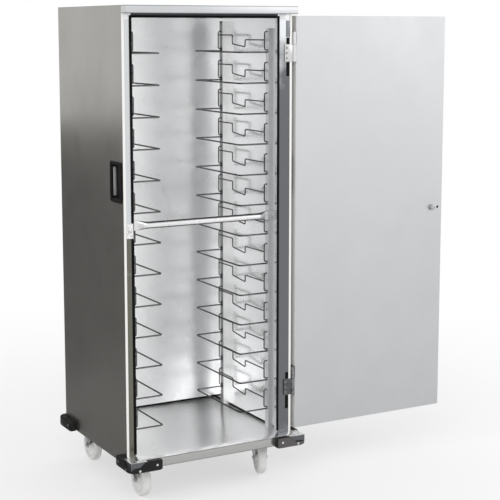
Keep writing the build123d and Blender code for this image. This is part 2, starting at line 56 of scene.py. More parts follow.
MM = 0.001
SIDES = (("left", -1), ("right", 1))
SATIN, POLISHED, RUBBER = "stainless_satin", "stainless_polished", "black_rubber"

# Where the solids have what the new pieces sit on, in millimetres
SIDE, FRONT, BACK, STEP, FLOOR = 343, -300, 300, -360, 177.0
WEB, FRONT_LEG, BACK_LEG = 285.5, -227.5, 142.5
FIRST_LEVEL, LEVEL_PITCH, LEVELS = 251, 114.3, 13
BAR_HEIGHT, LATCH_HEIGHT, SPINDLE = 1010.0, 1000, 997
DOOR_INSIDE, DOOR_OUTSIDE = -302, -264
AXLE, AXLE_HEIGHT = 38, 62.5

# Turns that stand a flat plan up: Y to Z, then X to Y with Y to Z
ON_EDGE = Matrix(((1, 0, 0, 0), (0, 0, 1, 0), (0, 1, 0, 0), (0, 0, 0, 1)))
SIDEWAYS = Matrix(((0, 0, 1, 0), (1, 0, 0, 0), (0, 1, 0, 0), (0, 0, 0, 1)))


# Shaping

def softened(bm, edges, width, segments=2):
    """Rounds the given edges off."""
    bmesh.ops.bevel(bm, geom=edges, offset=width, offset_type="OFFSET", segments=segments,
                    profile=0.5, affect="EDGES", material=-1)


def rounded(bm, corners, radius, segments=5):
    """Rounds the corners of a flat face, by a radius in millimetres."""
    bmesh.ops.bevel(bm, geom=corners, offset=radius * MM, offset_type="OFFSET",
                    segments=segments, profile=0.5, affect="VERTICES", material=-1)


def sharp_edges(bm, angle=0.6):
    """The edges where two faces meet at more than the angle."""
    return [e for e in bm.edges if len(e.link_faces) == 2 and e.calc_face_angle(0) > angle]


def face_outward(bm):
    """Turns every face to look out of its shape."""
    bmesh.ops.recalc_face_normals(bm, faces=bm.faces)


def flat(bm, plan, height):
    """A flat face over points in X and Y, in millimetres."""
    return bm.faces.new([bm.verts.new((x * MM, y * MM, height * MM)) for x, y in plan])


def rectangle(low, high):
    """The corners of a rectangle between two opposite ones."""
    (x0, y0), (x1, y1) = low, high
    return [(x0, y0), (x1, y0), (x1, y1), (x0, y1)]


def block(low, high, soft=0.0, segments=2):
    """A box between two corners in millimetres, with softened edges."""
    bm = bmesh.new()
    low, high = Vector(low) * MM, Vector(high) * MM
    bmesh.ops.create_cube(bm, size=1.0)
    bmesh.ops.scale(bm, vec=high - low, verts=bm.verts)
    bmesh.ops.translate(bm, vec=(low + high) / 2, verts=bm.verts)
    if soft:
        softened(bm, bm.edges[:], soft * MM, segments)
    return bm


def turned(outline, sides=32, closed=False):
    """A shape turned about Z from radii and heights in millimetres."""
    bm = bmesh.new()
    verts = [bm.verts.new((r * MM, 0, z * MM)) for r, z in outline]
    ends = verts[1:] + verts[:1] if closed else verts[1:]
    edges = [bm.edges.new(pair) for pair in zip(verts, ends)]
    bmesh.ops.spin(bm, geom=verts + edges, cent=(0, 0, 0), axis=(0, 0, 1), dvec=(0, 0, 0),
                   angle=math.tau, steps=sides, use_merge=True, use_duplicate=False)
    bmesh.ops.remove_doubles(bm, verts=bm.verts, dist=1e-6)
    face_outward(bm)
    return bm


def plate(plan, low, high, soft=0.0, corners=0.0, segments=2):
    """A flat plan with rounded corners, given a thickness."""
    bm = bmesh.new()
    face = flat(bm, plan, low)
    if corners:
        rounded(bm, face.verts[:], corners)
    lift(bm, bm.faces[:], (0, 0, (high - low) * MM))
    face_outward(bm)
    if soft:
        softened(bm, sharp_edges(bm), soft * MM, segments)
    return bm


def ringed(rings):
    """A closed skin over rounded rectangles: half length, half width, corner and height."""
    bm = bmesh.new()
    loops = []
    for x, y, corner, z in rings:
        face = flat(bm, rectangle((-x, -y), (x, y)), z)
        rounded(bm, face.verts[:], corner)
        loops.append(bm.faces[:][0].edges[:])
        bmesh.ops.delete(bm, geom=bm.faces[:], context="FACES_ONLY")
    for near, far in zip(loops, loops[1:]):
        bmesh.ops.bridge_loops(bm, edges=near + far)
    for end in (loops[0], loops[-1]):
        bmesh.ops.edgeloop_fill(bm, edges=end)
    face_outward(bm)
    return bm


def with_edges(faces):
    """Faces and their edges, so that pulling them out leaves nothing inside."""
    return faces + list({e for f in faces for e in f.edges})


def only_faces(geom):
    """The faces among what an operator made."""
    return [f for f in geom if isinstance(f, bmesh.types.BMFace)]


def lift(bm, faces, way):
    """Pulls faces out along a direction and returns what was made."""
    made = bmesh.ops.extrude_face_region(bm, geom=with_edges(faces))["geom"]
    verts = [v for v in made if isinstance(v, bmesh.types.BMVert)]
    bmesh.ops.translate(bm, vec=way, verts=verts)
    return only_faces(made)


def bent_wire(corners, diameter, bend, sides=10, turns=4):
    """A round wire pulled along straight runs and spun round each bend."""
    bm = bmesh.new()
    path = [Vector(c) * MM for c in corners]
    heading = (path[1] - path[0]).normalized()
    place = Matrix.Translation(path[0]) @ heading.to_track_quat("Z", "Y").to_matrix().to_4x4()
    bmesh.ops.create_circle(bm, cap_ends=True, radius=diameter * MM / 2, segments=sides,
                            matrix=place)
    tip = bm.faces[:]
    here = path[0]
    for corner, after in zip(path[1:], path[2:] + [None]):
        way = (corner - here).normalized()
        turn = way.angle((after - corner).normalized()) if after else 0.0
        stop = corner - way * bend * MM * math.tan(turn / 2)
        tip = lift(bm, tip, stop - here)
        here = stop
        if turn:
            onward = (after - corner).normalized()
            inward = (onward - way * way.dot(onward)).normalized()
            centre = here + inward * bend * MM
            axis = way.cross(onward).normalized()
            spun = bmesh.ops.spin(bm, geom=with_edges(tip), cent=centre, axis=axis,
                                  dvec=(0, 0, 0), angle=turn, steps=turns, use_merge=False,
                                  use_duplicate=False)
            tip = only_faces(spun["geom_last"])
            here = centre + Matrix.Rotation(turn, 3, axis) @ (here - centre)
    face_outward(bm)
    return bm


def screw(radius, height, sides=20):
    """A domed screw head with a driver recess, standing on the plane Z 0."""
    r, h = radius, height
    return turned([(0, h * 0.45), (r * 0.3, h * 0.45), (r * 0.42, h * 0.95), (r * 0.6, h * 0.9),
                   (r * 0.88, h * 0.5), (r, 0.1), (r * 0.96, -0.3), (0, -0.3)], sides)


def hex_head(across, height):
    """A hexagon bolt head with chamfered corners over a washer."""
    bm = bmesh.new()
    radius, washer = across * MM / math.sqrt(3), 1.2
    bmesh.ops.create_cone(bm, cap_ends=True, segments=6, radius1=radius, radius2=radius,
                          depth=height * MM)
    bmesh.ops.translate(bm, vec=(0, 0, (height / 2 + washer) * MM), verts=bm.verts)
    top = [e for e in bm.edges if all(v.co.z > height * MM for v in e.verts)]
    softened(bm, top, across * MM * 0.08, 1)
    put(bm, turned([(0, washer), (across * 0.66, washer), (across * 0.7, 0.9),
                    (across * 0.7, 0), (0, 0)], 24))
    return bm


def put(target, part, *places):
    """Adds a shape to a bigger one, as it stands or at each place."""
    holder = bpy.data.meshes.new("holder")
    part.to_mesh(holder)
    part.free()
    for place in places or (Matrix(),):
        copy = holder.copy()
        copy.transform(place)
        if place.determinant() < 0:
            copy.flip_normals()
        target.from_mesh(copy)
        bpy.data.meshes.remove(copy)
    bpy.data.meshes.remove(holder)


def copies(part, *places):
    """A shape repeated at each place, as one."""
    bm = bmesh.new()
    put(bm, part, *places)
    return bm


def gathered(*parts):
    """Several shapes as one."""
    bm = bmesh.new()
    for part in parts:
        put(bm, part)
    return bm


def at(x, y, z, turn=0.0, axis="Z"):
    """A place in millimetres, turned by degrees about an axis."""
    rotation = Matrix.Rotation(math.radians(turn), 4, axis)
    return Matrix.Translation(Vector((x, y, z)) * MM) @ rotation


def facing(x, y, z, way):
    """A place whose Z looks along a direction."""
    return (Matrix.Translation(Vector((x, y, z)) * MM)
            @ Vector(way).to_track_quat("Z", "Y").to_matrix().to_4x4())


def flipped(sign):
    """The left side's mirror for a sign of -1, and nothing for 1."""
    return Matrix.Scale(sign, 4, (1, 0, 0))


def finish_piece(bm, name, body, finish, slot, *nodes, crease=35.0):
    """Makes a shape into a named piece that rides on a body."""
    mesh = bpy.data.meshes.new(name)
    bm.to_mesh(mesh)
    bm.free()
    mesh.shade_smooth()
    mesh.set_sharp_from_angle(angle=math.radians(crease))
    mesh.materials.append(finishes()[finish])
    piece = bpy.data.objects.new(name, mesh)
    bpy.context.scene.collection.objects.link(piece)
    if nodes:
        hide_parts(*nodes)
    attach(piece, body)
    return piece


def folded_copy(node_name, name, finish, width):
    """A sheet metal node of the cabinet with its folds and cut edges rounded."""
    bm = bmesh.new()
    bm.from_mesh(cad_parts[node_name].data)
    bmesh.ops.remove_doubles(bm, verts=bm.verts, dist=1e-6)
    bmesh.ops.dissolve_limit(bm, angle_limit=0.01, verts=bm.verts, edges=bm.edges,
                             use_dissolve_boundaries=False, delimit=set())
    softened(bm, sharp_edges(bm), width * MM, 3)
    return finish_piece(bm, name, "cabinet", finish, SATIN, node_name)


def dress(finish, *nodes):
    """Gives CAD nodes their finish."""
    for name in nodes:
        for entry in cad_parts[name].material_slots:
            entry.material = finishes()[finish]


# Shader nodes

def node(tree, kind, inputs=None, **settings):
    """One node with its settings, and its inputs set or linked."""
    made = tree.nodes.new(kind)
    for key, value in settings.items():
        setattr(made, key, value)
    for key, value in (inputs or {}).items():
        if isinstance(value, bpy.types.NodeSocket):
            tree.links.new(value, made.inputs[key])
        else:
            made.inputs[key].default_value = value
    return made


def worked(tree, operation, *values):
    """One sum on one or two values."""
    made = node(tree, "ShaderNodeMath", dict(enumerate(values)), operation=operation)
    return made.outputs["Value"]


def spread(tree, value, low, high, to_low, to_high):
    """A value moved from one range to another, and held inside it."""
    return node(tree, "ShaderNodeMapRange", {"Value": value, "From Min": low, "From Max": high,
                                             "To Min": to_low, "To Max": to_high}).outputs["Result"]


def share_of(tree, value, low, high):
    """How far a value has come from low to high, from 0 to 1."""
    return spread(tree, value, low, high, 0.0, 1.0)


def between(tree, share, low, high):
    """A value from low to high, by a share from 0 to 1."""
    return spread(tree, share, 0.0, 1.0, low, high)


def away(tree, value, middle):
    """How far a value is from the middle, either way."""
    return worked(tree, "ABSOLUTE", worked(tree, "SUBTRACT", value, middle))


def point(tree):
    """The point on the object."""
    return node(tree, "ShaderNodeTexCoord").outputs["Object"]


def outward(tree):
    """Where the surface looks."""
    return node(tree, "ShaderNodeNewGeometry").outputs["Normal"]


def axis_of(tree, vector, axis):
    """One axis of a vector."""
    return node(tree, "ShaderNodeSeparateXYZ", {"Vector": vector}).outputs[axis]


def along(tree, way):
    """How much the surface looks along a direction."""
    return node(tree, "ShaderNodeVectorMath", {0: outward(tree), 1: way},
                operation="DOT_PRODUCT").outputs["Value"]


def noise(tree, where, scale, detail, rough=0.5, twist=0.0):
    """A cloudy pattern."""
    made = node(tree, "ShaderNodeTexNoise", {"Vector": where, "Scale": scale, "Detail": detail,
                                             "Roughness": rough, "Distortion": twist})
    return made.outputs["Fac"]


def tint(tree, amount, first, second):
    """A colour between two others."""
    made = node(tree, "ShaderNodeMix", {"Factor": amount}, data_type="RGBA")
    for key, value in (("A_Color", first), ("B_Color", second)):
        socket = next(s for s in made.inputs if s.identifier == key)
        if isinstance(value, bpy.types.NodeSocket):
            tree.links.new(value, socket)
        else:
            socket.default_value = (*value, 1.0)
    return next(s for s in made.outputs if s.identifier == "Result_Color")


def dark(colour, share):
    """A colour made darker."""
    return tuple(c * share for c in colour)


# Effects that several finishes share

def open_group(name, **inputs):
    """A new effect with its number and vector inputs."""
    tree = bpy.data.node_groups.new(name, "ShaderNodeTree")
    for label, value in inputs.items():
        kind = "NodeSocketVector" if isinstance(value, tuple) else "NodeSocketFloat"
        socket = tree.interface.new_socket(label.replace("_", " "), in_out="INPUT",
                                           socket_type=kind)
        socket.default_value = value
    return tree, tree.nodes.new("NodeGroupInput").outputs


def close_group(tree, **outputs):
    """Gives an effect the masks that it puts out."""
    for label in outputs:
        tree.interface.new_socket(label, in_out="OUTPUT", socket_type="NodeSocketFloat")
    leave = tree.nodes.new("NodeGroupOutput")
    for label, value in outputs.items():
        tree.links.new(value, leave.inputs[label])


def brushed_group():
    """Fine parallel streaks left by brushing sheet steel."""
    tree, given = open_group("Brushed Grain", Stretch=(1.0, 1.0, 1.0), Fineness=900.0)
    pulled = node(tree, "ShaderNodeVectorMath", {0: point(tree), 1: given["Stretch"]},
                  operation="MULTIPLY").outputs["Vector"]
    close_group(tree, Streaks=noise(tree, pulled, given["Fineness"], 3.0, 0.6),
                Clouds=noise(tree, point(tree), 2.6, 4.0, 0.55, 0.4))


def handled_group():
    """Smudges, small dents and fine scratches from daily use."""
    tree, given = open_group("Handling Marks", Smudge_Scale=7.0, Scratch_Scale=40.0)
    smudge = noise(tree, point(tree), given["Smudge Scale"], 6.0, 0.65, 0.8)
    tilted = node(tree, "ShaderNodeMapping", {"Vector": point(tree), "Rotation": (0.5, 0.3, 0.7),
                                              "Scale": (1.0, 1.0, 14.0)}).outputs["Vector"]
    scratch = noise(tree, tilted, given["Scratch Scale"], 2.0)
    close_group(tree, Smudges=share_of(tree, smudge, 0.42, 0.72),
                Scratches=share_of(tree, scratch, 0.68, 0.76),
                Dents=noise(tree, point(tree), 5.0, 1.0))


def worn_group():
    """Where corners have been rubbed, and where dust settles."""
    tree, given = open_group("Edge Wear", Edge_Start=0.52, Break_Up=60.0)
    patches = noise(tree, point(tree), given["Break Up"], 4.0, 0.6)
    edge = node(tree, "ShaderNodeNewGeometry").outputs["Pointiness"]
    upward = axis_of(tree, outward(tree), "Z")
    close_group(tree,
                Rubbed=worked(tree, "MULTIPLY", share_of(tree, edge, given["Edge Start"], 0.62),
                              share_of(tree, patches, 0.35, 0.6)),
                Dust=worked(tree, "MULTIPLY", share_of(tree, upward, 0.5, 1.0),
                            share_of(tree, patches, 0.4, 0.75)))


def height_group():
    """A broken up mask from the floor end to the roof end of a piece, for painted shade low down.
    """
    tree, given = open_group("Height Shade", Low_End=0.3, High_End=1.4, Ragged=0.1)
    patches = spread(tree, noise(tree, point(tree), 9.0, 4.0), 0.3, 0.7, -1.0, 1.0)
    ragged = worked(tree, "MULTIPLY", patches, given["Ragged"])
    moved = worked(tree, "ADD", axis_of(tree, point(tree), "Z"), ragged)
    close_group(tree, Above=share_of(tree, moved, given["Low End"], given["High End"]))


def use_group(tree, name, **inputs):
    """Places a shared effect in a material."""
    made = node(tree, "ShaderNodeGroup", node_tree=bpy.data.node_groups[name])
    for key, value in inputs.items():
        made.inputs[key.replace("_", " ")].default_value = value
    return made.outputs


# Finishes

BRUSH_DEPTH = 0.00003


def shader(name):
    """A new material and its principled shader."""
    material = bpy.data.materials.new(name)
    material.use_nodes = True
    return material, material.node_tree, material.node_tree.nodes["Principled BSDF"]


def join(tree, skin, tone, rough, relief, depth, strength=0.5):
    """Gives a shader its colour, roughness and fine relief."""
    tree.links.new(tone, skin.inputs["Base Color"])
    tree.links.new(rough, skin.inputs["Roughness"])
    bump = node(tree, "ShaderNodeBump", {"Height": relief, "Distance": depth, "Strength": strength})
    tree.links.new(bump.outputs["Normal"], skin.inputs["Normal"])
    return bump.outputs["Normal"]


def fold_shade_line(tree, height):
    """Painted shade: the dark line of a fold at a height, on faces that stand upright."""
    near = spread(tree, away(tree, axis_of(tree, point(tree), "Z"), height),
                  0.0012, 0.0034, 0.8, 0.0)
    level = worked(tree, "ABSOLUTE", axis_of(tree, outward(tree), "Z"))
    return worked(tree, "MULTIPLY", near, spread(tree, level, 0.8, 0.95, 1.0, 0.0))


def sheet_steel(name, colour, rough, stretch, cloud=0.06, dent=0.0, metal=1.0, low=None,
                heights=(0.3, 1.4), front=False, grain_depth=0.16, painted_edge=None, way=(0, -1, 0),
                painted_edge_metal=0.3, shaded_folds=()):
    """Brushed sheet steel with clouds, smudges and the odd scratch, and perhaps painted shade
    that darkens the low end (only on faces that look to the front if asked), a painted tone
    on faces that look along a direction (a painted highlight on the panels and door, painted
    shade on the platform's front), and painted shade lines at folds."""
    _, tree, skin = shader(name)
    grain = use_group(tree, "Brushed Grain", Stretch=stretch)
    marks = use_group(tree, "Handling Marks")
    tone = tint(tree, share_of(tree, grain["Clouds"], 0.3, 0.7), dark(colour, 1 - cloud), colour)
    # Painted shade: below the given heights the colour turns to the darker low colour; with front
    # set, only faces that look to the front are darkened
    if low:
        lit_share = use_group(tree, "Height Shade", Low_End=heights[0], High_End=heights[1])["Above"]
        if front:
            back = share_of(tree, axis_of(tree, outward(tree), "Y"), -0.9, -0.5)
            lit_share = worked(tree, "MAXIMUM", lit_share, back)
        tone = tint(tree, lit_share, low, tone)
    skin.inputs["Metallic"].default_value = metal
    # Painted tone on faces that look along the way: a painted highlight on the panels and door,
    # painted shade on the platform's front, with the metal changed to match
    if painted_edge:
        edge = along(tree, way)
        tone = tint(tree, share_of(tree, edge, 0.5, 0.9), tone, painted_edge)
        tree.links.new(spread(tree, edge, 0.5, 0.9, metal, painted_edge_metal), skin.inputs["Metallic"])
    # Painted shade: a dark line along each fold
    for height in shaded_folds:
        tone = tint(tree, fold_shade_line(tree, height), tone, dark(colour, 0.12))
    shade = spread(tree, grain["Streaks"], 0.3, 0.7, grain_depth, 0.0)
    tone = tint(tree, shade, tone, dark(colour, 0.5 if low else 0.7))
    scratched = between(tree, marks["Scratches"], 0.0, grain_depth)
    tone = tint(tree, scratched, tone, dark(colour, 1.1))
    worn = spread(tree, grain["Streaks"], 0.3, 0.7, rough * 0.85, rough * 1.15)
    worn = worked(tree, "ADD", worn, between(tree, marks["Smudges"], 0.0, 0.07))
    brushed = join(tree, skin, tone, worn, grain["Streaks"], BRUSH_DEPTH)
    if dent:
        dented = node(tree, "ShaderNodeBump", {"Height": marks["Dents"], "Distance": dent,
                                               "Strength": 1.0, "Normal": brushed})
        tree.links.new(dented.outputs["Normal"], skin.inputs["Normal"])


def slotted(name, colour, rough):
    """Upright sheet with painted light on the rear uprights: a painted highlight on the folds,
    painted shade on the web, and painted shade round each wire slot.
    """
    _, tree, skin = shader(name)
    grain = use_group(tree, "Brushed Grain", Stretch=(60.0, 60.0, 1.0))
    marks = use_group(tree, "Handling Marks", Smudge_Scale=40.0)
    depth = axis_of(tree, point(tree), "Y")
    rear = share_of(tree, depth, -0.05, 0.05)
    # Painted highlight on the rear folds and painted shade on the rear web
    fold = tint(tree, rear, colour, (0.95, 0.95, 0.95))
    web = tint(tree, rear, colour, dark(colour, 0.3))
    folds = worked(tree, "ABSOLUTE", axis_of(tree, outward(tree), "Y"))
    tone = tint(tree, share_of(tree, folds, 0.5, 0.9), web, fold)
    # Painted shade round each wire slot on the rear webs
    slot_middle, lift_to_zero = 0.0275, 0.1155
    level = worked(tree, "ADD", axis_of(tree, point(tree), "Z"), lift_to_zero)
    level = worked(tree, "MODULO", level, LEVEL_PITCH * MM)
    slot = worked(tree, "MULTIPLY",
                  spread(tree, away(tree, level, slot_middle), 0.007, 0.016, 1.0, 0.0),
                  spread(tree, away(tree, depth, BACK_LEG * MM), 0.005, 0.012, 1.0, 0.0))
    web_only = worked(tree, "ABSOLUTE", axis_of(tree, outward(tree), "X"))
    tone = tint(tree, worked(tree, "MULTIPLY", slot, web_only), tone, (0.02, 0.02, 0.02))
    tone = tint(tree, spread(tree, grain["Streaks"], 0.3, 0.7, 0.12, 0.0), tone, dark(colour, 0.6))
    smudges = marks["Smudges"]
    tone = tint(tree, between(tree, smudges, 0.0, 0.15), tone, dark(colour, 0.5))
    skin.inputs["Metallic"].default_value = 0.75
    join(tree, skin, tone, between(tree, smudges, rough, rough + 0.1),
         grain["Streaks"], BRUSH_DEPTH)


def plated(name, colour, rough, blotch=0.12, low=None, size=38.0):
    """Plated or polished small metal parts, perhaps with painted shade that darkens them towards
    the floor.
    """
    _, tree, skin = shader(name)
    wear = use_group(tree, "Edge Wear", Edge_Start=0.53)
    smudges = use_group(tree, "Handling Marks", Smudge_Scale=size, Scratch_Scale=160.0)["Smudges"]
    tone = tint(tree, smudges, colour, dark(colour, 1 - blotch))
    # Painted shade: towards the floor the colour turns to the darker low colour
    if low:
        height_shade = use_group(tree, "Height Shade", Low_End=0.6, High_End=1.3, Ragged=0.02)
        tone = tint(tree, height_shade["Above"], low, tone)
    tone = tint(tree, between(tree, wear["Rubbed"], 0.0, 0.5), tone, dark(colour, 1.15))
    skin.inputs["Metallic"].default_value = 1.0
    join(tree, skin, tone, between(tree, smudges, rough, rough + 0.12), smudges,
         0.00004, 0.4)


def drawn(name, colour, shade, rough, way, low, high, metal=1.0):
    """A painted reflection: bright on faces turned along a direction and painted shade on the
    others, standing in for how round chrome reflects.
    """
    _, tree, skin = shader(name)
    marks = use_group(tree, "Handling Marks", Smudge_Scale=30.0, Scratch_Scale=90.0)
    lit = worked(tree, "ABSOLUTE", along(tree, way))
    # Painted reflection: faces along the way keep the colour, the others take the painted shade
    tone = tint(tree, share_of(tree, lit, low, high), shade, colour)
    smudges = marks["Smudges"]
    tone = tint(tree, between(tree, smudges, 0.0, 0.1), tone, dark(shade, 0.7))
    skin.inputs["Metallic"].default_value = metal
    join(tree, skin, tone, between(tree, smudges, rough, rough + 0.12), marks["Dents"],
         0.0002)


def moulded(name, colour, rough, worn, pebble=0.00006, gloss=0.5, dust=0.25, painted_light_tone=None):
    """Rubber or plastic with a fine moulded grain, rubbed corners and dust, and perhaps painted
    light that turns the front faces at the right lighter."""
    _, tree, skin = shader(name)
    wear = use_group(tree, "Edge Wear", Edge_Start=0.515)
    smudges = use_group(tree, "Handling Marks", Smudge_Scale=24.0, Scratch_Scale=110.0)["Smudges"]
    grain = use_group(tree, "Brushed Grain", Fineness=1400.0)
    tone = tint(tree, between(tree, smudges, 0.0, 0.5), colour, worn)
    tone = tint(tree, between(tree, wear["Rubbed"], 0.0, 0.7), tone, dark(worn, 1.6))
    if painted_light_tone:
        # Painted light: front faces on the right side are turned lighter
        right = spread(tree, axis_of(tree, point(tree), "X"), 0.15, 0.25, 0.0, 0.85)
        ahead = spread(tree, axis_of(tree, outward(tree), "Y"), -0.95, -0.7, 1.0, 0.0)
        tone = tint(tree, worked(tree, "MULTIPLY", right, ahead), tone, painted_light_tone)
    tone = tint(tree, between(tree, wear["Dust"], 0.0, dust), tone, (0.35, 0.34, 0.32))
    skin.inputs["Specular IOR Level"].default_value = gloss
    join(tree, skin, tone, between(tree, smudges, rough, rough + 0.18),
         grain["Streaks"], pebble, 0.6)


def finishes():
    """Every material of the rack by its name, made on first use."""
    if "Panel Steel" in bpy.data.materials:
        return bpy.data.materials
    colours = bpy.context.scene.pan_rack_finishes
    for group in (brushed_group, handled_group, worn_group, height_group):
        group()
    upright, level = (60.0, 60.0, 1.0), (1.0, 60.0, 60.0)
    post, slate, fitting, rubber = colours.post, colours.slate, colours.fitting, colours.rubber
    roof, pan = [(low[2], high[2]) for low, high in map(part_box, ("roof_canopy", "base_platform"))]
    # Painted highlight: faces that look to the front turn pale and less metallic
    sheet_steel("Panel Steel", colours.panel, 0.3, upright, cloud=0.12, painted_edge=(0.9, 0.9, 0.88))
    # Painted shade: dark lines along the top and bottom folds
    sheet_steel("Canopy Steel", colours.canopy, 0.34, level, shaded_folds=roof)
    # Painted shade: faces that look to the front turn darker grey, with dark lines along the folds
    sheet_steel("Platform Steel", colours.platform, 0.2, level, dent=0.0008, metal=0.92,
                grain_depth=0.06, painted_edge=(0.42, 0.42, 0.41), painted_edge_metal=0.8, shaded_folds=pan)
    sheet_steel("Back Liner Steel", colours.liner, 0.28, upright, cloud=0.03, dent=0.0012,
                metal=0.97, grain_depth=0.06)
    sheet_steel("Liner Steel", colours.liner, 0.2, upright, cloud=0.03, dent=0.0012, metal=0.96,
                grain_depth=0.06)
    # Painted shade: darker and browner below about 0.94 m
    sheet_steel("Latch Post Steel", dark(post, 0.9), 0.2, upright, dent=0.0004,
                low=(0.14, 0.137, 0.11), heights=(0.94, 1.0))
    # Painted shade: the front face turns slate below about 1.5 m
    sheet_steel("Hinge Post Steel", post, 0.2, upright, cloud=0.1, dent=0.0004, low=slate,
                heights=(1.5, 1.7), front=True)
    # Painted shade: the header is given a dark slate colour
    sheet_steel("Header Steel", dark(slate, 0.5), 0.3, level, cloud=0.4)
    sheet_steel("Cover Steel", dark(slate, 2.2), 0.34, upright, cloud=0.2)
    slotted("Slotted Steel", colours.upright, 0.3)
    sheet_steel("Upright Steel", colours.upright, 0.3, upright, metal=0.6)
    # Painted shade: darker towards the bottom; painted highlight: faces that look to the left turn
    # pale and lose their metal
    sheet_steel("Door Steel", colours.door, 0.42, upright, cloud=0.04,
                low=dark(colours.door, 0.84), heights=(0.1, 1.1), grain_depth=0.1,
                painted_edge=(0.92, 0.92, 0.91), way=(-1, 0, 0), painted_edge_metal=0.0)
    # Painted reflection: the wire keeps its colour only on faces that look to the front or back,
    # and is painted near black elsewhere
    drawn("Chrome Wire", colours.wire, dark(colours.wire, 0.05), 0.16, (0, 1, 0), 0.8, 0.99)
    # Painted reflection: bright on faces that look to the front or back, dark along the top and
    # bottom
    drawn("Bar Chrome", colours.bar, dark(colours.bar, 0.1), 0.22, (0, 1, 0), 0.7, 0.92,
          metal=0.7)
    # Painted shade: the caps' upright faces are slate, their tops bright
    drawn("Corner Steel", colours.platform, slate, 0.3, (0, 0, 1), 0.3, 0.8)
    plated("Polished Fitting", fitting, 0.16)
    # Painted shade: darker towards the floor, so the lower hinge is dark
    plated("Hinge Plate", fitting, 0.26, blotch=0.06, low=dark(slate, 0.7))
    plated("Strike Plate", colours.platform, 0.3, blotch=0.7, size=160.0)
    # Painted shade: the screws are darker than the fittings, standing in for the shade in their
    # recesses
    plated("Screw Steel", dark(fitting, 0.35), 0.25)
    plated("Zinc Plate", colours.zinc, 0.3, blotch=0.2)
    # Painted light: the front faces of the right-hand bumpers turn lighter grey
    moulded("Black Rubber", rubber, 0.3, (0.02, 0.019, 0.018), gloss=0.22, dust=0.03,
            painted_light_tone=(0.11, 0.105, 0.105))
    moulded("Gasket Rubber", dark(rubber, 0.5), 0.6, rubber, gloss=0.1, dust=0.0)
    moulded("Black Plastic", colours.plastic, 0.45, (0.012, 0.012, 0.012), gloss=0.1, dust=0.03)
    moulded("Caster Nylon", colours.nylon, 0.32, (0.62, 0.61, 0.58), pebble=0.00002)
    return bpy.data.materials


# Sizes and colours

def colour(name, description, default):
    """A colour that a user may change."""
    return FloatVectorProperty(name=name, description=description, default=default, min=0.0,
                               max=1.0, subtype="COLOR")


class RackWires(PropertyGroup):
    """Sizes of the wire slides"""

    rail: FloatProperty(name="Rail Wire", description="Diameter of the wire under a pan",
                        default=0.006, min=0.003, max=0.01, unit="LENGTH")
    guide: FloatProperty(name="Guide Wire", description="Diameter of the wire beside a pan",
                         default=0.005, min=0.002, max=0.01, unit="LENGTH")
    rail_bend: FloatProperty(name="Rail Bend", description="Radius of a rail's corners",
                             default=0.012, min=0.006, max=0.03, unit="LENGTH")
    guide_bend: FloatProperty(name="Guide Bend", description="Radius of a guide's corners",
                              default=0.006, min=0.004, max=0.01, unit="LENGTH")
    sides: IntProperty(name="Wire Sides", description="Facets round a wire",
                       default=10, min=6, max=24)


class RackFinishes(PropertyGroup):
    """Colours of the rack's materials"""

    panel: colour("Side Panels", "Outer side and back panels", (0.39, 0.38, 0.355))
    canopy: colour("Canopy", "Roof sheet and its lip", (0.64, 0.655, 0.672))
    platform: colour("Platform", "Floor pan with its front step", (0.98, 0.98, 0.98))
    liner: colour("Liners", "Inner walls and ceiling", (0.965, 0.97, 0.975))
    post: colour("Posts", "Bright part of the door posts", (0.78, 0.80, 0.82))
    # Painted shade colour: the lower hinge post, the header, the lower hinge and the corner caps'
    # sides take it
    slate: colour("Slate Parts", "Painted shade on the hinge post and header", (0.13, 0.135, 0.145))
    upright: colour("Uprights", "Slotted channels behind the slides", (0.86, 0.86, 0.87))
    door: colour("Door", "Both door skins", (0.63, 0.64, 0.65))
    wire: colour("Wire", "Chromed wire slides", (0.30, 0.30, 0.31))
    bar: colour("Bar", "Cross bar at half height", (0.80, 0.80, 0.81))
    fitting: colour("Fittings", "Hinges, latch and screws", (0.66, 0.66, 0.66))
    zinc: colour("Caster Steel", "Zinc plated forks, plates and pedals", (0.48, 0.48, 0.49))
    rubber: colour("Rubber", "Corner bumpers and door gasket", (0.005, 0.005, 0.005))
    plastic: colour("Plastic", "Recessed side handles", (0.005, 0.005, 0.005))
    nylon: colour("Wheels", "Pale nylon caster wheels", (0.78, 0.78, 0.77))


class RackStudio(PropertyGroup):
    """Light and floor round the rack"""

    ambient: FloatProperty(name="Ambient", description="Strength of the even light from all round",
                           default=0.92, min=0.0, max=2.0)
    key: FloatProperty(name="Key Lamp", description="Power of the large lamp at the front left",
                       default=40.0, min=0.0, max=1000.0, subtype="POWER")
    fill: FloatProperty(name="Fill Lamp", description="Power of the large lamp at the front right",
                        default=22.0, min=0.0, max=1000.0, subtype="POWER")
    floor: colour("Floor", "Colour of the studio floor", (0.9, 0.9, 0.9))


# Pieces

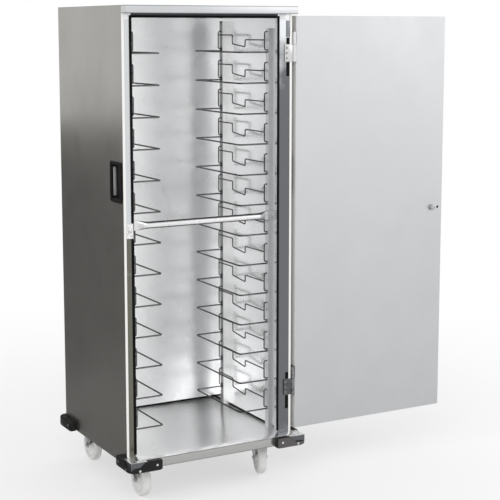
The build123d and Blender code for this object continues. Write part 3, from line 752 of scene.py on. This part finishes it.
class SheetMetal(Operator):
    """Finish the cabinet's sheet metal, with rounded folds where they show"""

    bl_idname = "pan_rack.sheet_metal"
    bl_label = "Sheet Metal"

    def execute(self, context):
        folded_copy("roof_canopy", "canopy_sheet", "Canopy Steel", 0.5)
        folded_copy("base_platform", "platform_pan", "Platform Steel", 0.6)
        dress("Panel Steel", "side_panel_left", "side_panel_right", "back_panel")
        dress("Liner Steel", "liner_left", "liner_right", "ceiling_liner")
        dress("Back Liner Steel", "liner_back")
        dress("Latch Post Steel", "latch_post")
        dress("Hinge Post Steel", "hinge_post")
        dress("Header Steel", "door_header")
        dress("Slotted Steel", "rack_uprights")
        dress("Door Steel", "door_outer_skin", "door_inner_skin")
        dress("Zinc Plate", "base_channels", "wall_ribs", "door_stiffeners", "latch_case",
              "latch_blade", "latch_spindle")
        seam, heights = 332, range(240, 1790, 150)
        places = [facing(x, BACK, z, (0, 1, 0)) for x in (-seam, seam) for z in heights]
        finish_piece(copies(screw(4.0, 1.8, 14), *places), "back_panel_rivets", "cabinet",
                     "Polished Fitting", SATIN)
        return {"FINISHED"}


class WireSlides(Operator):
    """Bend the thirteen pairs of chromed wire rails and guides"""

    bl_idname = "pan_rack.wire_slides"
    bl_label = "Wire Slides"

    def execute(self, context):
        wires = context.scene.pan_rack_wires
        run, beside, step = 163.0, 268, -77.65
        rail_line = [(WEB, FRONT_LEG, 0), (run, FRONT_LEG, 0), (run, BACK_LEG, 0),
                     (WEB, BACK_LEG, 0)]
        steps = [(FRONT_LEG, 45), (step, 45), (step, 18), (24.84, 28), (24.84, 62), (BACK_LEG, 62)]
        guide_lines = [[(beside, y, z) for y, z in steps]]
        guide_lines += [[(WEB, y, 8), (beside, y, 8), (beside, y, 76), (280, y, 76)]
                        for y in (FRONT_LEG, BACK_LEG)]
        for side, sign in SIDES:
            places = [flipped(sign) @ at(0, 0, FIRST_LEVEL + LEVEL_PITCH * i)
                      for i in range(LEVELS)]
            rail = bent_wire(rail_line, wires.rail / MM, wires.rail_bend / MM, wires.sides)
            guide = gathered(*[bent_wire(line, wires.guide / MM, wires.guide_bend / MM,
                                         wires.sides, 3) for line in guide_lines])
            finish_piece(copies(rail, *places), "rails_" + side, "cabinet", "Chrome Wire",
                         "chrome_wire", "pan_rails_" + side)
            finish_piece(copies(guide, *places), "guides_" + side, "cabinet", "Chrome Wire",
                         "chrome_wire", "pan_guides_" + side)
        return {"FINISHED"}


class CrossBar(Operator):
    """Pull the cross bar, press its ends flat and bolt them to the uprights"""

    bl_idname = "pan_rack.cross_bar"
    bl_label = "Cross Bar"

    def execute(self, context):
        seat, tube, thin, wide = -240.0, 25.4, 3.5, 38.0
        start, stop, tab = 224.0, 282.0, 306.0
        steps = [i / 24 for i in range(25)]
        eased = [t * t * (3 - 2 * t) for t in steps]
        stations = [(start + (stop - start) * t, tube + (thin - tube) * e, tube + (wide - tube) * e)
                    for t, e in zip(steps, eased)] + [(tab, thin, wide)]
        bm = bmesh.new()
        bmesh.ops.create_circle(bm, cap_ends=True, radius=tube * MM / 2, segments=64,
                                matrix=facing(-start, seat - tube / 2, BAR_HEIGHT, (1, 0, 0)))
        lift(bm, bm.faces[:], (2 * start * MM, 0, 0))
        for sign in (-1, 1):
            bm.faces.ensure_lookup_table()
            tip = [f for f in bm.faces
                   if abs(f.normal.x) > 0.9 and f.calc_center_median().x * sign > 0]
            place, deep, tall = stations[0]
            for x, thick, high in stations[1:]:
                tip = lift(bm, tip, (sign * (x - place) * MM, (deep - thick) / 2 * MM, 0))
                centre = tip[0].calc_center_median()
                bmesh.ops.scale(bm, vec=(1, thick / deep, high / tall), verts=tip[0].verts[:],
                                space=Matrix.Translation(-centre))
                place, deep, tall = x, thick, high
        face_outward(bm)
        finish_piece(bm, "hold_bar", "cabinet", "Bar Chrome", POLISHED, "cross_bar", crease=60.0)
        places = [facing(x, seat - thin, BAR_HEIGHT, (0, -1, 0)) for x in (-297, 297)]
        finish_piece(copies(screw(3.2, 0.8, 16), *places), "hold_bar_rivets", "cabinet",
                     "Polished Fitting", POLISHED)
        return {"FINISHED"}


class DoorSeal(Operator):
    """Lay the rubber gasket round the door opening"""

    bl_idname = "pan_rack.door_seal"
    bl_label = "Door Gasket"

    def execute(self, context):
        low, high, under, over = 182, 1755.5, 972, 1028
        strips = [((-313.5, low), (-304, under)), ((-313.5, over), (-304, high)),
                  ((280, low), (289.5, high)), ((-304, 1747), (280, high))]
        backing, seat, lips = -301.6, -301, (-303.7, -302.9)
        bm = bmesh.new()
        for (x0, z0), (x1, z1) in strips:
            put(bm, block((x0, backing, z0), (x1, FRONT, z1), 0.3))
            if z1 - z0 > x1 - x0:
                beads = [((x0 + 0.2, z0), (x0 + 4.6, z1)), ((x0 + 4.9, z0), (x1 - 0.2, z1))]
            else:
                beads = [((x0, z0 + 0.2), (x1, z0 + 4.0)), ((x0, z0 + 4.3), (x1, z1 - 0.2))]
            for ((a, b), (c, d)), lip in zip(beads, lips):
                put(bm, block((a, lip, b), (c, seat, d), 1.0, 3))
        put(bm, block((-306.6, lips[1], under), (-304.2, seat, over), 0.9, 3))
        finish_piece(bm, "gasket", "cabinet", "Gasket Rubber", RUBBER, "door_gasket")
        return {"FINISHED"}


class FrameTrim(Operator):
    """Fit the hinge cover, the bright corner plates and the header screws"""

    bl_idname = "pan_rack.frame_trim"
    bl_label = "Frame Trim"

    def execute(self, context):
        cover = block((318, FRONT - 1.2, 1679), (335, FRONT, 1739), 0.4)
        finish_piece(gathered(cover), "hinge_cover_plate", "cabinet", "Cover Steel", SATIN)
        corners = bmesh.new()
        for x in (-341, 289.5):
            plan = rectangle((x, 1741), (x + 27, 1762))
            put(corners, plate(plan, 0, 1.1, 0.4, 3), at(0, FRONT, 0, 90, "X"))
        finish_piece(corners, "top_corner_plates", "cabinet", "Upright Steel", SATIN)
        places = [facing(x, FRONT, 1772, (0, -1, 0)) for x in (-220, 0, 220)]
        finish_piece(copies(screw(4.0, 1.8, 14), *places), "header_screws", "cabinet",
                     "Polished Fitting", POLISHED)
        return {"FINISHED"}


class FloorSeal(Operator):
    """Lay the dark bead of sealant where the walls meet the floor pan"""

    bl_idname = "pan_rack.floor_seal"
    bl_label = "Floor Sealant"

    def execute(self, context):
        low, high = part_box("liner_back")
        left, right, wall = low[0] / MM, high[0] / MM, low[1] / MM
        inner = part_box("liner_right")[0][0] / MM
        front_end = 262.0
        bead = [(0, 0), (-3.4, 0), (-2.6, 1.8), (-1.2, 3.2), (0, 4.2)]
        bm = bmesh.new()
        put(bm, plate(bead, max(left, -inner), min(right, inner)), at(0, wall, FLOOR) @ SIDEWAYS)
        for _, sign in SIDES:
            put(bm, plate(bead, -wall, front_end),
                flipped(sign) @ at(inner, 0, FLOOR, 90, "X"))
        finish_piece(bm, "floor_sealant", "cabinet", "Gasket Rubber", RUBBER)
        return {"FINISHED"}


class Bumpers(Operator):
    """Mould the four corner bumpers, with steel caps and screws in the front two"""

    bl_idname = "pan_rack.bumpers"
    bl_label = "Corner Bumpers"

    arm, out, low, high = 104.0, 25.4, 138.0, 178.0

    def rubber(self, bulb, arms):
        """A bulb round a platform corner, and a taller arm each way if there are arms."""
        arm, out = self.arm, self.out
        plan = [(-arm, 0), (-arm, -out), (out, -out), (out, arm), (0, arm), (0, 0)]
        bm = bmesh.new()
        verts = flat(bm, plan, self.low).verts[:]
        rounded(bm, verts[2:3], 30, 12)
        rounded(bm, verts[1:2] + verts[3:4], 12)
        lift(bm, bm.faces[:], (0, 0, bulb * MM))
        face_outward(bm)
        rims = [e for e in sharp_edges(bm) if abs(e.verts[0].co.z - e.verts[1].co.z) < 1e-6
                and not all(abs(v.co.y) < 1e-6 or abs(v.co.x) < 1e-6 for v in e.verts)]
        softened(bm, rims, 6.5 * MM, 4)
        if arms:
            side = [(0.6 - arm, 141), (0.6 - arm, self.high), (-46, self.high), (-20, 153),
                    (-20, 141)]
            across = Matrix(((0, -1, 0, 0), (-1, 0, 0, 0), (0, 0, 1, 0), (0, 0, 0, 1)))
            put(bm, plate(side, 0.4 - out, -0.2, 2.6, 4, 3), ON_EDGE, across @ ON_EDGE)
        return bm

    def cap(self):
        """The folded sheet corner that shows inside the bulb."""
        long, wide = 46, 18
        plan = [(-long, 0), (-long, -wide), (wide, -wide), (wide, long), (0, long), (0, 0)]
        return plate(plan, 150, 177.4, 1.2, 0, 3)

    def execute(self, context):
        screws, caps = [], bmesh.new()
        for name, edge, ahead, bulb in (("front", STEP, 1, 18), ("back", BACK, -1, 40)):
            corners = [Matrix.Translation((sign * SIDE * MM, edge * MM, 0))
                       @ Matrix.Diagonal((sign, ahead, 1, 1)) for _, sign in SIDES]
            finish_piece(copies(self.rubber(bulb, name == "front"), *corners), "bumpers_" + name,
                         "cabinet", "Black Rubber", RUBBER, "corner_bumpers_" + name)
            if name == "front":
                put(caps, self.cap(), *corners)
            spots = [(82, 160), (14, 147)]
            for corner in corners:
                screws += [corner @ facing(-reach, -self.out, z, (0, -1, 0)) for reach, z in spots]
                screws += [corner @ facing(self.out, reach, z, (1, 0, 0)) for reach, z in spots]
        finish_piece(caps, "bumper_caps", "cabinet", "Corner Steel", POLISHED, "corner_caps")
        finish_piece(copies(screw(4.4, 0.6, 16), *screws), "bumper_screws", "cabinet",
                     "Polished Fitting", POLISHED)
        return {"FINISHED"}


class SideHandles(Operator):
    """Mould the recessed handle in each side panel"""

    bl_idname = "pan_rack.side_handles"
    bl_label = "Side Handles"

    def execute(self, context):
        tub = [(59, 36, 5, -25), (63, 40, 6, 0), (72.5, 49, 10, 0), (73.5, 50, 10.5, 0.9),
               (73.5, 50, 10.5, 2.6), (72, 48.6, 9.5, 4), (62.6, 39.2, 7, 4), (61, 37.5, 6, 2.4),
               (59, 35.2, 5.5, -13.5), (56, 32, 4, -17)]
        for side, sign in SIDES:
            place = at(sign * SIDE, -240, 1171, sign * 90, "Y")
            finish_piece(copies(ringed(tub), place), "handle_" + side, "cabinet", "Black Plastic",
                         "black_plastic", "side_handle_" + side)
            strip = block((-52, 33.2, -14.5), (52, 34.4, -4), 0.5)
            finish_piece(copies(strip, place), "handle_strip_" + side, "cabinet",
                         "Upright Steel", SATIN)
            ends = [place @ at(x, 0, 4) for x in (-67.5, 67.5)]
            finish_piece(copies(screw(2.6, 1.0, 14), *ends), "handle_screws_" + side, "cabinet",
                         "Black Plastic", "black_plastic")
        return {"FINISHED"}


class Hinges(Operator):
    """Form the two door hinges with their pins and screws, and thin black strips of painted shade
    above and below them
    """

    bl_idname = "pan_rack.hinges"
    bl_label = "Hinges"

    def barrel(self, bore, length):
        """A rolled barrel with softened ends."""
        return turned([(bore, 0.3), (6.4, 0.3), (7.0, 0.9), (7.0, length - 0.9),
                       (6.4, length - 0.3), (bore, length - 0.3)], 32, True)

    def execute(self, context):
        pin, pin_front = 352.0, -303.0
        leaf_front, leaf_back, door_front = -303.7, -301.2, -304.5
        frame_leaf, door_leaf = 62.0, 45.7
        frame_side, door_side, pins = bmesh.new(), bmesh.new(), bmesh.new()
        screws, door_screws, shade_strips = bmesh.new(), bmesh.new(), bmesh.new()
        for low in (318.0, 1588.7):
            top = low + frame_leaf
            leaf = rectangle((311, low), (345, top))
            put(frame_side, plate(leaf, 0, 2.5, 0.6, 3), at(0, leaf_back, 0, 90, "X"))
            put(frame_side, block((344, leaf_front, low + 0.2), (pin, leaf_back, top - 0.2), 0.3))
            put(frame_side, self.barrel(4.0, frame_leaf), at(pin, pin_front, low))
            start = top + 0.3
            high = start + door_leaf
            put(door_side, self.barrel(4.05, door_leaf), at(pin, pin_front, start))
            wrap = block((pin, door_front, start + 0.2), (361, DOOR_INSIDE, high - 0.2), 0.3)
            put(door_side, wrap)
            leaf = rectangle((door_front, start), (-266, high))
            put(door_side, plate(leaf, 0, 2.7, 0.6, 3), at(358.3, 0, 0) @ SIDEWAYS)
            put(pins, turned([(0, -2), (3.2, -2), (3.98, -1.2), (3.98, 109), (3.2, 110),
                              (0, 110)], 24), at(pin, pin_front, low))
            put(screws, screw(4.2, 0.22, 16), *[facing(319, leaf_front, low + h, (0, -1, 0))
                                                for h in (12, 31, 50)])
            put(door_screws, screw(3.8, 1.8, 16), *[facing(358.4, -285, start + h, (-1, 0, 0))
                                                    for h in (10, 36)])
            # Painted shade: thin black strips on the post above and below each hinge
            for a, b in ((low - 54, low - 2), (top + 2, top + 26)):
                put(shade_strips, block((320, -301.4, a), (332, FRONT, b), 0.4))
        plated_steel, screw_steel = "Hinge Plate", "Screw Steel"
        finish_piece(frame_side, "hinge_leaves_frame", "cabinet", plated_steel, POLISHED,
                     "hinge_frame_leaves")
        finish_piece(door_side, "hinge_leaves_door", "door", plated_steel, POLISHED,
                     "hinge_door_leaves")
        finish_piece(pins, "hinge_pin_rods", "cabinet", plated_steel, POLISHED, "hinge_pins")
        finish_piece(screws, "hinge_screws_frame", "cabinet", screw_steel, POLISHED)
        finish_piece(door_screws, "hinge_screws_door", "door", screw_steel, POLISHED)
        finish_piece(shade_strips, "hinge_shade_strips", "cabinet", "Gasket Rubber", RUBBER)
        return {"FINISHED"}


class Latch(Operator):
    """Shape the strike plate, the stud, the inner knob and the outer lever"""

    bl_idname = "pan_rack.latch"
    bl_label = "Latch"

    def execute(self, context):
        low, high, edge, jamb, strike = 974, 1026, -333.4, -307, 1.7
        plan = rectangle((edge, low), (jamb, high))
        bm = copies(plate(plan, 0, strike, 0.5, 3), at(0, FRONT, 0, 90, "X"))
        put(bm, screw(3.4, 1.4, 14), *[facing(-315, FRONT - strike, z, (0, -1, 0))
                                       for z in (981, 1019)])
        finish_piece(bm, "strike", "cabinet", "Strike Plate", POLISHED, "strike_plate")

        stud = turned([(0, 0), (4.5, 0), (4.5, 4.9), (4.0, 5.5), (2.75, 5.5), (2.75, 9.3),
                       (4.0, 9.3), (4.5, 9.8), (4.5, 12.4), (3.4, 13.5), (0, 13.5)], 28)
        place = facing(-323, FRONT - strike, LATCH_HEIGHT, (0, -1, 0))
        finish_piece(copies(stud, place), "stud", "cabinet", "Polished Fitting", POLISHED,
                     "keeper_stud")

        knob = turned([(5, 0.3), (9.2, 0.3), (9.2, 2.2), (10.6, 3.2), (11, 5.5), (10.7, 9.5),
                       (9.2, 12.6), (6.2, 14), (5, 14)], 36, True)
        place = facing(SPINDLE, DOOR_INSIDE, LATCH_HEIGHT, (0, -1, 0))
        finish_piece(copies(knob, place), "inner_knob", "latch_lever", "Zinc Plate", POLISHED,
                     "release_knob")

        bush = turned([(5.3, -1.2), (8.6, -1.2), (8.6, 0), (8.0, 0.6), (5.9, 0.6), (5.3, 0)],
                      32, True)
        place = facing(SPINDLE + 30, DOOR_INSIDE, LATCH_HEIGHT, (0, -1, 0))
        finish_piece(copies(bush, place), "stud_bush", "door", "Door Steel", SATIN)

        rose = turned([(5.4, 0), (20, 0), (20, 2.2), (18.6, 4.6), (14, 6), (5.4, 6)], 48, True)
        place = facing(SPINDLE, DOOR_OUTSIDE, LATCH_HEIGHT, (0, 1, 0))
        finish_piece(copies(rose, place), "rose", "door", "Polished Fitting", POLISHED,
                     "latch_rosette")

        rose_top = DOOR_OUTSIDE + 6
        neck = turned([(0, 0.3), (9.2, 0.3), (10, 1.2), (10, 25), (8.6, 33), (0, 33)], 36)
        grip = plate(rectangle((-101, -9), (10, 9)), 24, 34, 3.2, 8.5, 4)
        lever = copies(neck, facing(SPINDLE, rose_top, LATCH_HEIGHT, (0, 1, 0)))
        put(lever, grip, at(SPINDLE, rose_top, LATCH_HEIGHT) @ ON_EDGE)
        finish_piece(lever, "lever", "latch_lever", "Polished Fitting", POLISHED, "latch_handle")
        return {"FINISHED"}


class Casters(Operator):
    """Build the four braked swivel casters"""

    bl_idname = "pan_rack.casters"
    bl_label = "Casters"

    places = {"fl": (-258, -195, -90), "fr": (258, -195, -107), "bl": (-258, 195, 90),
              "br": (258, 195, 84)}
    both_legs = (ON_EDGE, Matrix.Scale(-1, 4, (0, 1, 0)) @ ON_EDGE)

    def wheel(self):
        """A nylon wheel about its axle, with recessed faces and a rounded tread."""
        face = [(5.05, -20.5), (13.6, -20.5), (16, -19.2), (16, -13.5), (19, -11), (27, -9.6),
                (40, -10.2), (46, -12.4), (48.6, -15.4), (52, -16), (57.5, -15.4), (61, -12),
                (62.5, -7)]
        return turned(face + [(r, -z) for r, z in reversed(face)], 72, True)

    def fork(self):
        """Two bent legs under a deck, the turning cup above it, and the axle bolt."""
        leg = [(-26, 129), (-26, 116), (26, 60), (32, 50.5), (44, 50.5), (50, 60), (66, 118),
               (66, 127), (60, 131), (-22, 131)]
        cup = [(0, 133.5), (25, 133.5), (26, 134.6), (26, 140), (24.6, 142), (24.6, 144),
               (23, 146.9), (0, 146.9)]
        bm = copies(plate(leg, 21, 24, 0.8, 3), *self.both_legs)
        put(bm, block((-26, -24, 129), (62, 24, 134), 2.2, 4))
        put(bm, turned(cup, 48))
        put(bm, hex_head(17, 4), at(0, 0, 129, 180, "X"))
        put(bm, hex_head(13, 4.4), *[facing(AXLE, y, AXLE_HEIGHT, (0, y, 0)) for y in (-24, 24)])
        put(bm, turned([(0, -24), (5, -24), (5, 24), (0, 24)], 24),
            facing(AXLE, 0, AXLE_HEIGHT, (0, 1, 0)))
        put(bm, turned([(0, -26.4), (3.4, -26.4), (4, -25.8), (4, 25.8), (3.4, 26.4), (0, 26.4)],
                       20), facing(60, 0, 126, (0, 1, 0)))
        return bm

    def pedal(self):
        """A stamped foot plate with a turned down lip and grip ribs."""
        plan = [(70, -24), (110, -24), (118, -16), (118, 16), (110, 24), (70, 24)]
        side = [(56.5, 123), (60, 122.5), (78, 121), (78, 131), (72, 131), (68, 129),
                (56.5, 128.5)]
        bm = plate(plan, 130, 133, 0.8, 4)
        for x in (88, 96, 104):
            put(bm, block((x, -16, 132.6), (x + 3, 16, 134.2), 0.7))
        put(bm, block((112, -17, 125.5), (118, 17, 131), 1.6, 3))
        put(bm, plate(side, 17.4, 20.4, 0.6, 1.4), *self.both_legs)
        put(bm, block((62, -17.6, 122.4), (74, 17.6, 126), 1.2))
        return bm

    def execute(self, context):
        zinc = "Zinc Plate", "zinc_steel"
        under, deck = 153.5, rectangle((-50, -42.5), (50, 42.5))
        plates, bolts = bmesh.new(), bmesh.new()
        for name, (x, y, turn) in self.places.items():
            place = at(x, y, 0, turn)
            hub = place @ facing(AXLE, 0, AXLE_HEIGHT, (0, 1, 0))
            finish_piece(copies(self.wheel(), hub), "wheel_" + name, "wheel_" + name,
                         "Caster Nylon", "caster_nylon", "caster_wheel_" + name)
            finish_piece(copies(self.fork(), place), "fork_" + name, "fork_" + name, *zinc,
                         "caster_fork_" + name)
            finish_piece(copies(self.pedal(), place), "pedal_" + name, "pedal_" + name, *zinc,
                         "brake_pedal_" + name)
            put(plates, plate(deck, under, 157, 0.7, 6), at(x, y, 0))
            ring = [(0, 153.6), (29, 153.6), (29, 149.4), (27.6, 147.5), (0, 147.5)]
            put(plates, turned(ring, 48), at(x, y, 0))
            put(bolts, hex_head(11, 3.6), *[at(x + a, y + b, under, 180, "X")
                                            for a in (-40, 40) for b in (-33, 33)])
        finish_piece(plates, "caster_top_plates", "cabinet", *zinc, "caster_plates")
        finish_piece(bolts, "caster_bolts", "cabinet", *zinc)
        return {"FINISHED"}


class Studio(Operator):
    """Set the floor, the soft light and the camera"""

    bl_idname = "pan_rack.studio"
    bl_label = "Studio"

    eye, yaw, pitch = (-2.171, -4.499, 1.708), 29.095, 8.084
    sensor, picture, focal_pixels = 36.0, 500, 1309.6

    def link(self, name, data):
        """Puts a mesh, a lamp or a camera in the scene."""
        thing = bpy.data.objects.new(name, data)
        bpy.context.scene.collection.objects.link(thing)
        return thing

    def lamp(self, name, place, aim, size, power):
        """A large soft lamp turned to the rack."""
        light = bpy.data.lights.new(name, "AREA")
        light.shape = "SQUARE"
        light.size = size
        light.energy = power
        lamp = self.link(name, light)
        lamp.location = place
        lamp.rotation_euler = (Vector(aim) - Vector(place)).to_track_quat("-Z", "Y").to_euler()

    def sheet(self, name, size, place=Matrix()):
        """A flat sheet of staging."""
        bm = bmesh.new()
        bmesh.ops.create_grid(bm, x_segments=1, y_segments=1, size=0.5)
        bmesh.ops.scale(bm, vec=(*size, 1), verts=bm.verts)
        bmesh.ops.transform(bm, matrix=place, verts=bm.verts)
        mesh = bpy.data.meshes.new(name)
        bm.to_mesh(mesh)
        bm.free()
        sheet = self.link(name, mesh)
        return sheet

    def board(self, name, centre, way, size, shade):
        """A dark board that only shows in mirror-like metal, for contrast."""
        turn = Vector(way).to_track_quat("Z", "Y").to_matrix().to_4x4()
        board = self.sheet(name, size, Matrix.Translation(centre) @ turn)
        material, _, skin = shader(name)
        skin.inputs["Base Color"].default_value = (shade, shade, shade, 1)
        skin.inputs["Roughness"].default_value = 1.0
        skin.inputs["Specular IOR Level"].default_value = 0.0
        board.data.materials.append(material)
        for ray in ("camera", "diffuse", "shadow", "transmission", "volume_scatter"):
            setattr(board, "visible_" + ray, False)

    def seen(self, tree):
        """1 for what the camera sees straight, in a mirror or through glass."""
        path = node(tree, "ShaderNodeLightPath").outputs
        either = worked(tree, "MAXIMUM", path["Is Camera Ray"], path["Is Glossy Ray"])
        return worked(tree, "MAXIMUM", either, path["Is Transmission Ray"])

    def floor(self, colour):
        """A pale floor that keeps the rack's shadow and turns white further off."""
        material, tree, skin = shader("Studio Floor")
        skin.inputs["Base Color"].default_value = (*colour, 1)
        skin.inputs["Roughness"].default_value = 0.9
        distance = node(tree, "ShaderNodeVectorMath", {0: point(tree)}, operation="LENGTH")
        far = spread(tree, distance.outputs["Value"], 1.2, 3.2, 0.5, 1.0)
        white = node(tree, "ShaderNodeEmission", {"Strength": 1.0})
        mix = node(tree, "ShaderNodeMixShader",
                   {"Fac": worked(tree, "MULTIPLY", far, self.seen(tree)),
                    1: skin.outputs["BSDF"], 2: white.outputs[0]})
        tree.links.new(mix.outputs[0], tree.nodes["Material Output"].inputs["Surface"])
        self.sheet("studio_floor", (60, 60)).data.materials.append(material)

    def camera(self, scene):
        """The camera where the photograph was taken from."""
        lens = bpy.data.cameras.new("camera")
        lens.sensor_width = self.sensor
        lens.lens = self.sensor * self.focal_pixels / self.picture
        lens.shift_y = -0.07
        lens.clip_end = 100.0
        scene.camera = self.link("camera", lens)
        scene.camera.location = self.eye
        scene.camera.rotation_euler = (math.radians(90 - self.pitch), 0, math.radians(-self.yaw))

    def execute(self, context):
        scene, studio = context.scene, context.scene.pan_rack_studio
        scene.world = bpy.data.worlds.new("Studio")
        scene.world.use_nodes = True
        tree = scene.world.node_tree
        back = tree.nodes["Background"]
        back.inputs["Color"].default_value = (1, 1, 1, 1)
        strength = between(tree, self.seen(tree), studio.ambient, 1.0)
        tree.links.new(strength, back.inputs["Strength"])
        self.floor(studio.floor)
        for side, sign in SIDES:
            self.board("board_" + side, (sign * 0.95, 1.5, 0.6), (-sign * 0.378, -0.926, 0),
                       (2.4, 1.3), 0.22)
            self.board("low_board_" + side, (sign * 1.13, 0.8, 0.004), (0, 0, 1), (1.54, 2.2), 0.3)
        self.lamp("key_lamp", (-2.4, -3.6, 3.4), (0.1, 0, 0.9), 2.6, studio.key)
        self.lamp("fill_lamp", (3.4, -3.2, 2.8), (0.2, 0, 0.9), 2.6, studio.fill)
        self.camera(scene)
        scene.view_settings.view_transform = "Standard"
        return {"FINISHED"}


class PanRackPanel(Panel):
    """Builds the rack piece by piece"""

    bl_idname = "VIEW3D_PT_pan_rack"
    bl_label = "Pan Rack"
    bl_space_type = "VIEW_3D"
    bl_region_type = "UI"
    bl_category = "Pan Rack"

    def draw(self, context):
        column = self.layout.column()
        for maker in MAKERS:
            column.operator(maker.bl_idname)
        for group in SETTINGS:
            settings = getattr(context.scene, group)
            box = self.layout.box()
            for key in settings.__annotations__:
                box.prop(settings, key)


MAKERS = (SheetMetal, WireSlides, CrossBar, DoorSeal, FrameTrim, FloorSeal, Bumpers, SideHandles,
          Hinges, Latch, Casters, Studio)
SETTINGS = {"pan_rack_wires": RackWires, "pan_rack_finishes": RackFinishes,
            "pan_rack_studio": RackStudio}


def register():
    for group in (*SETTINGS.values(), *MAKERS, PanRackPanel):
        bpy.utils.register_class(group)
    for name, group in SETTINGS.items():
        setattr(bpy.types.Scene, name, PointerProperty(type=group))


def unregister():
    for name in SETTINGS:
        delattr(bpy.types.Scene, name)
    for group in reversed((*SETTINGS.values(), *MAKERS, PanRackPanel)):
        bpy.utils.unregister_class(group)


def main():
    """Builds every piece in order."""
    register()
    for maker in MAKERS:
        family, name = maker.bl_idname.split(".")
        getattr(getattr(bpy.ops, family), name)()


if __name__ == "__main__":
    main()
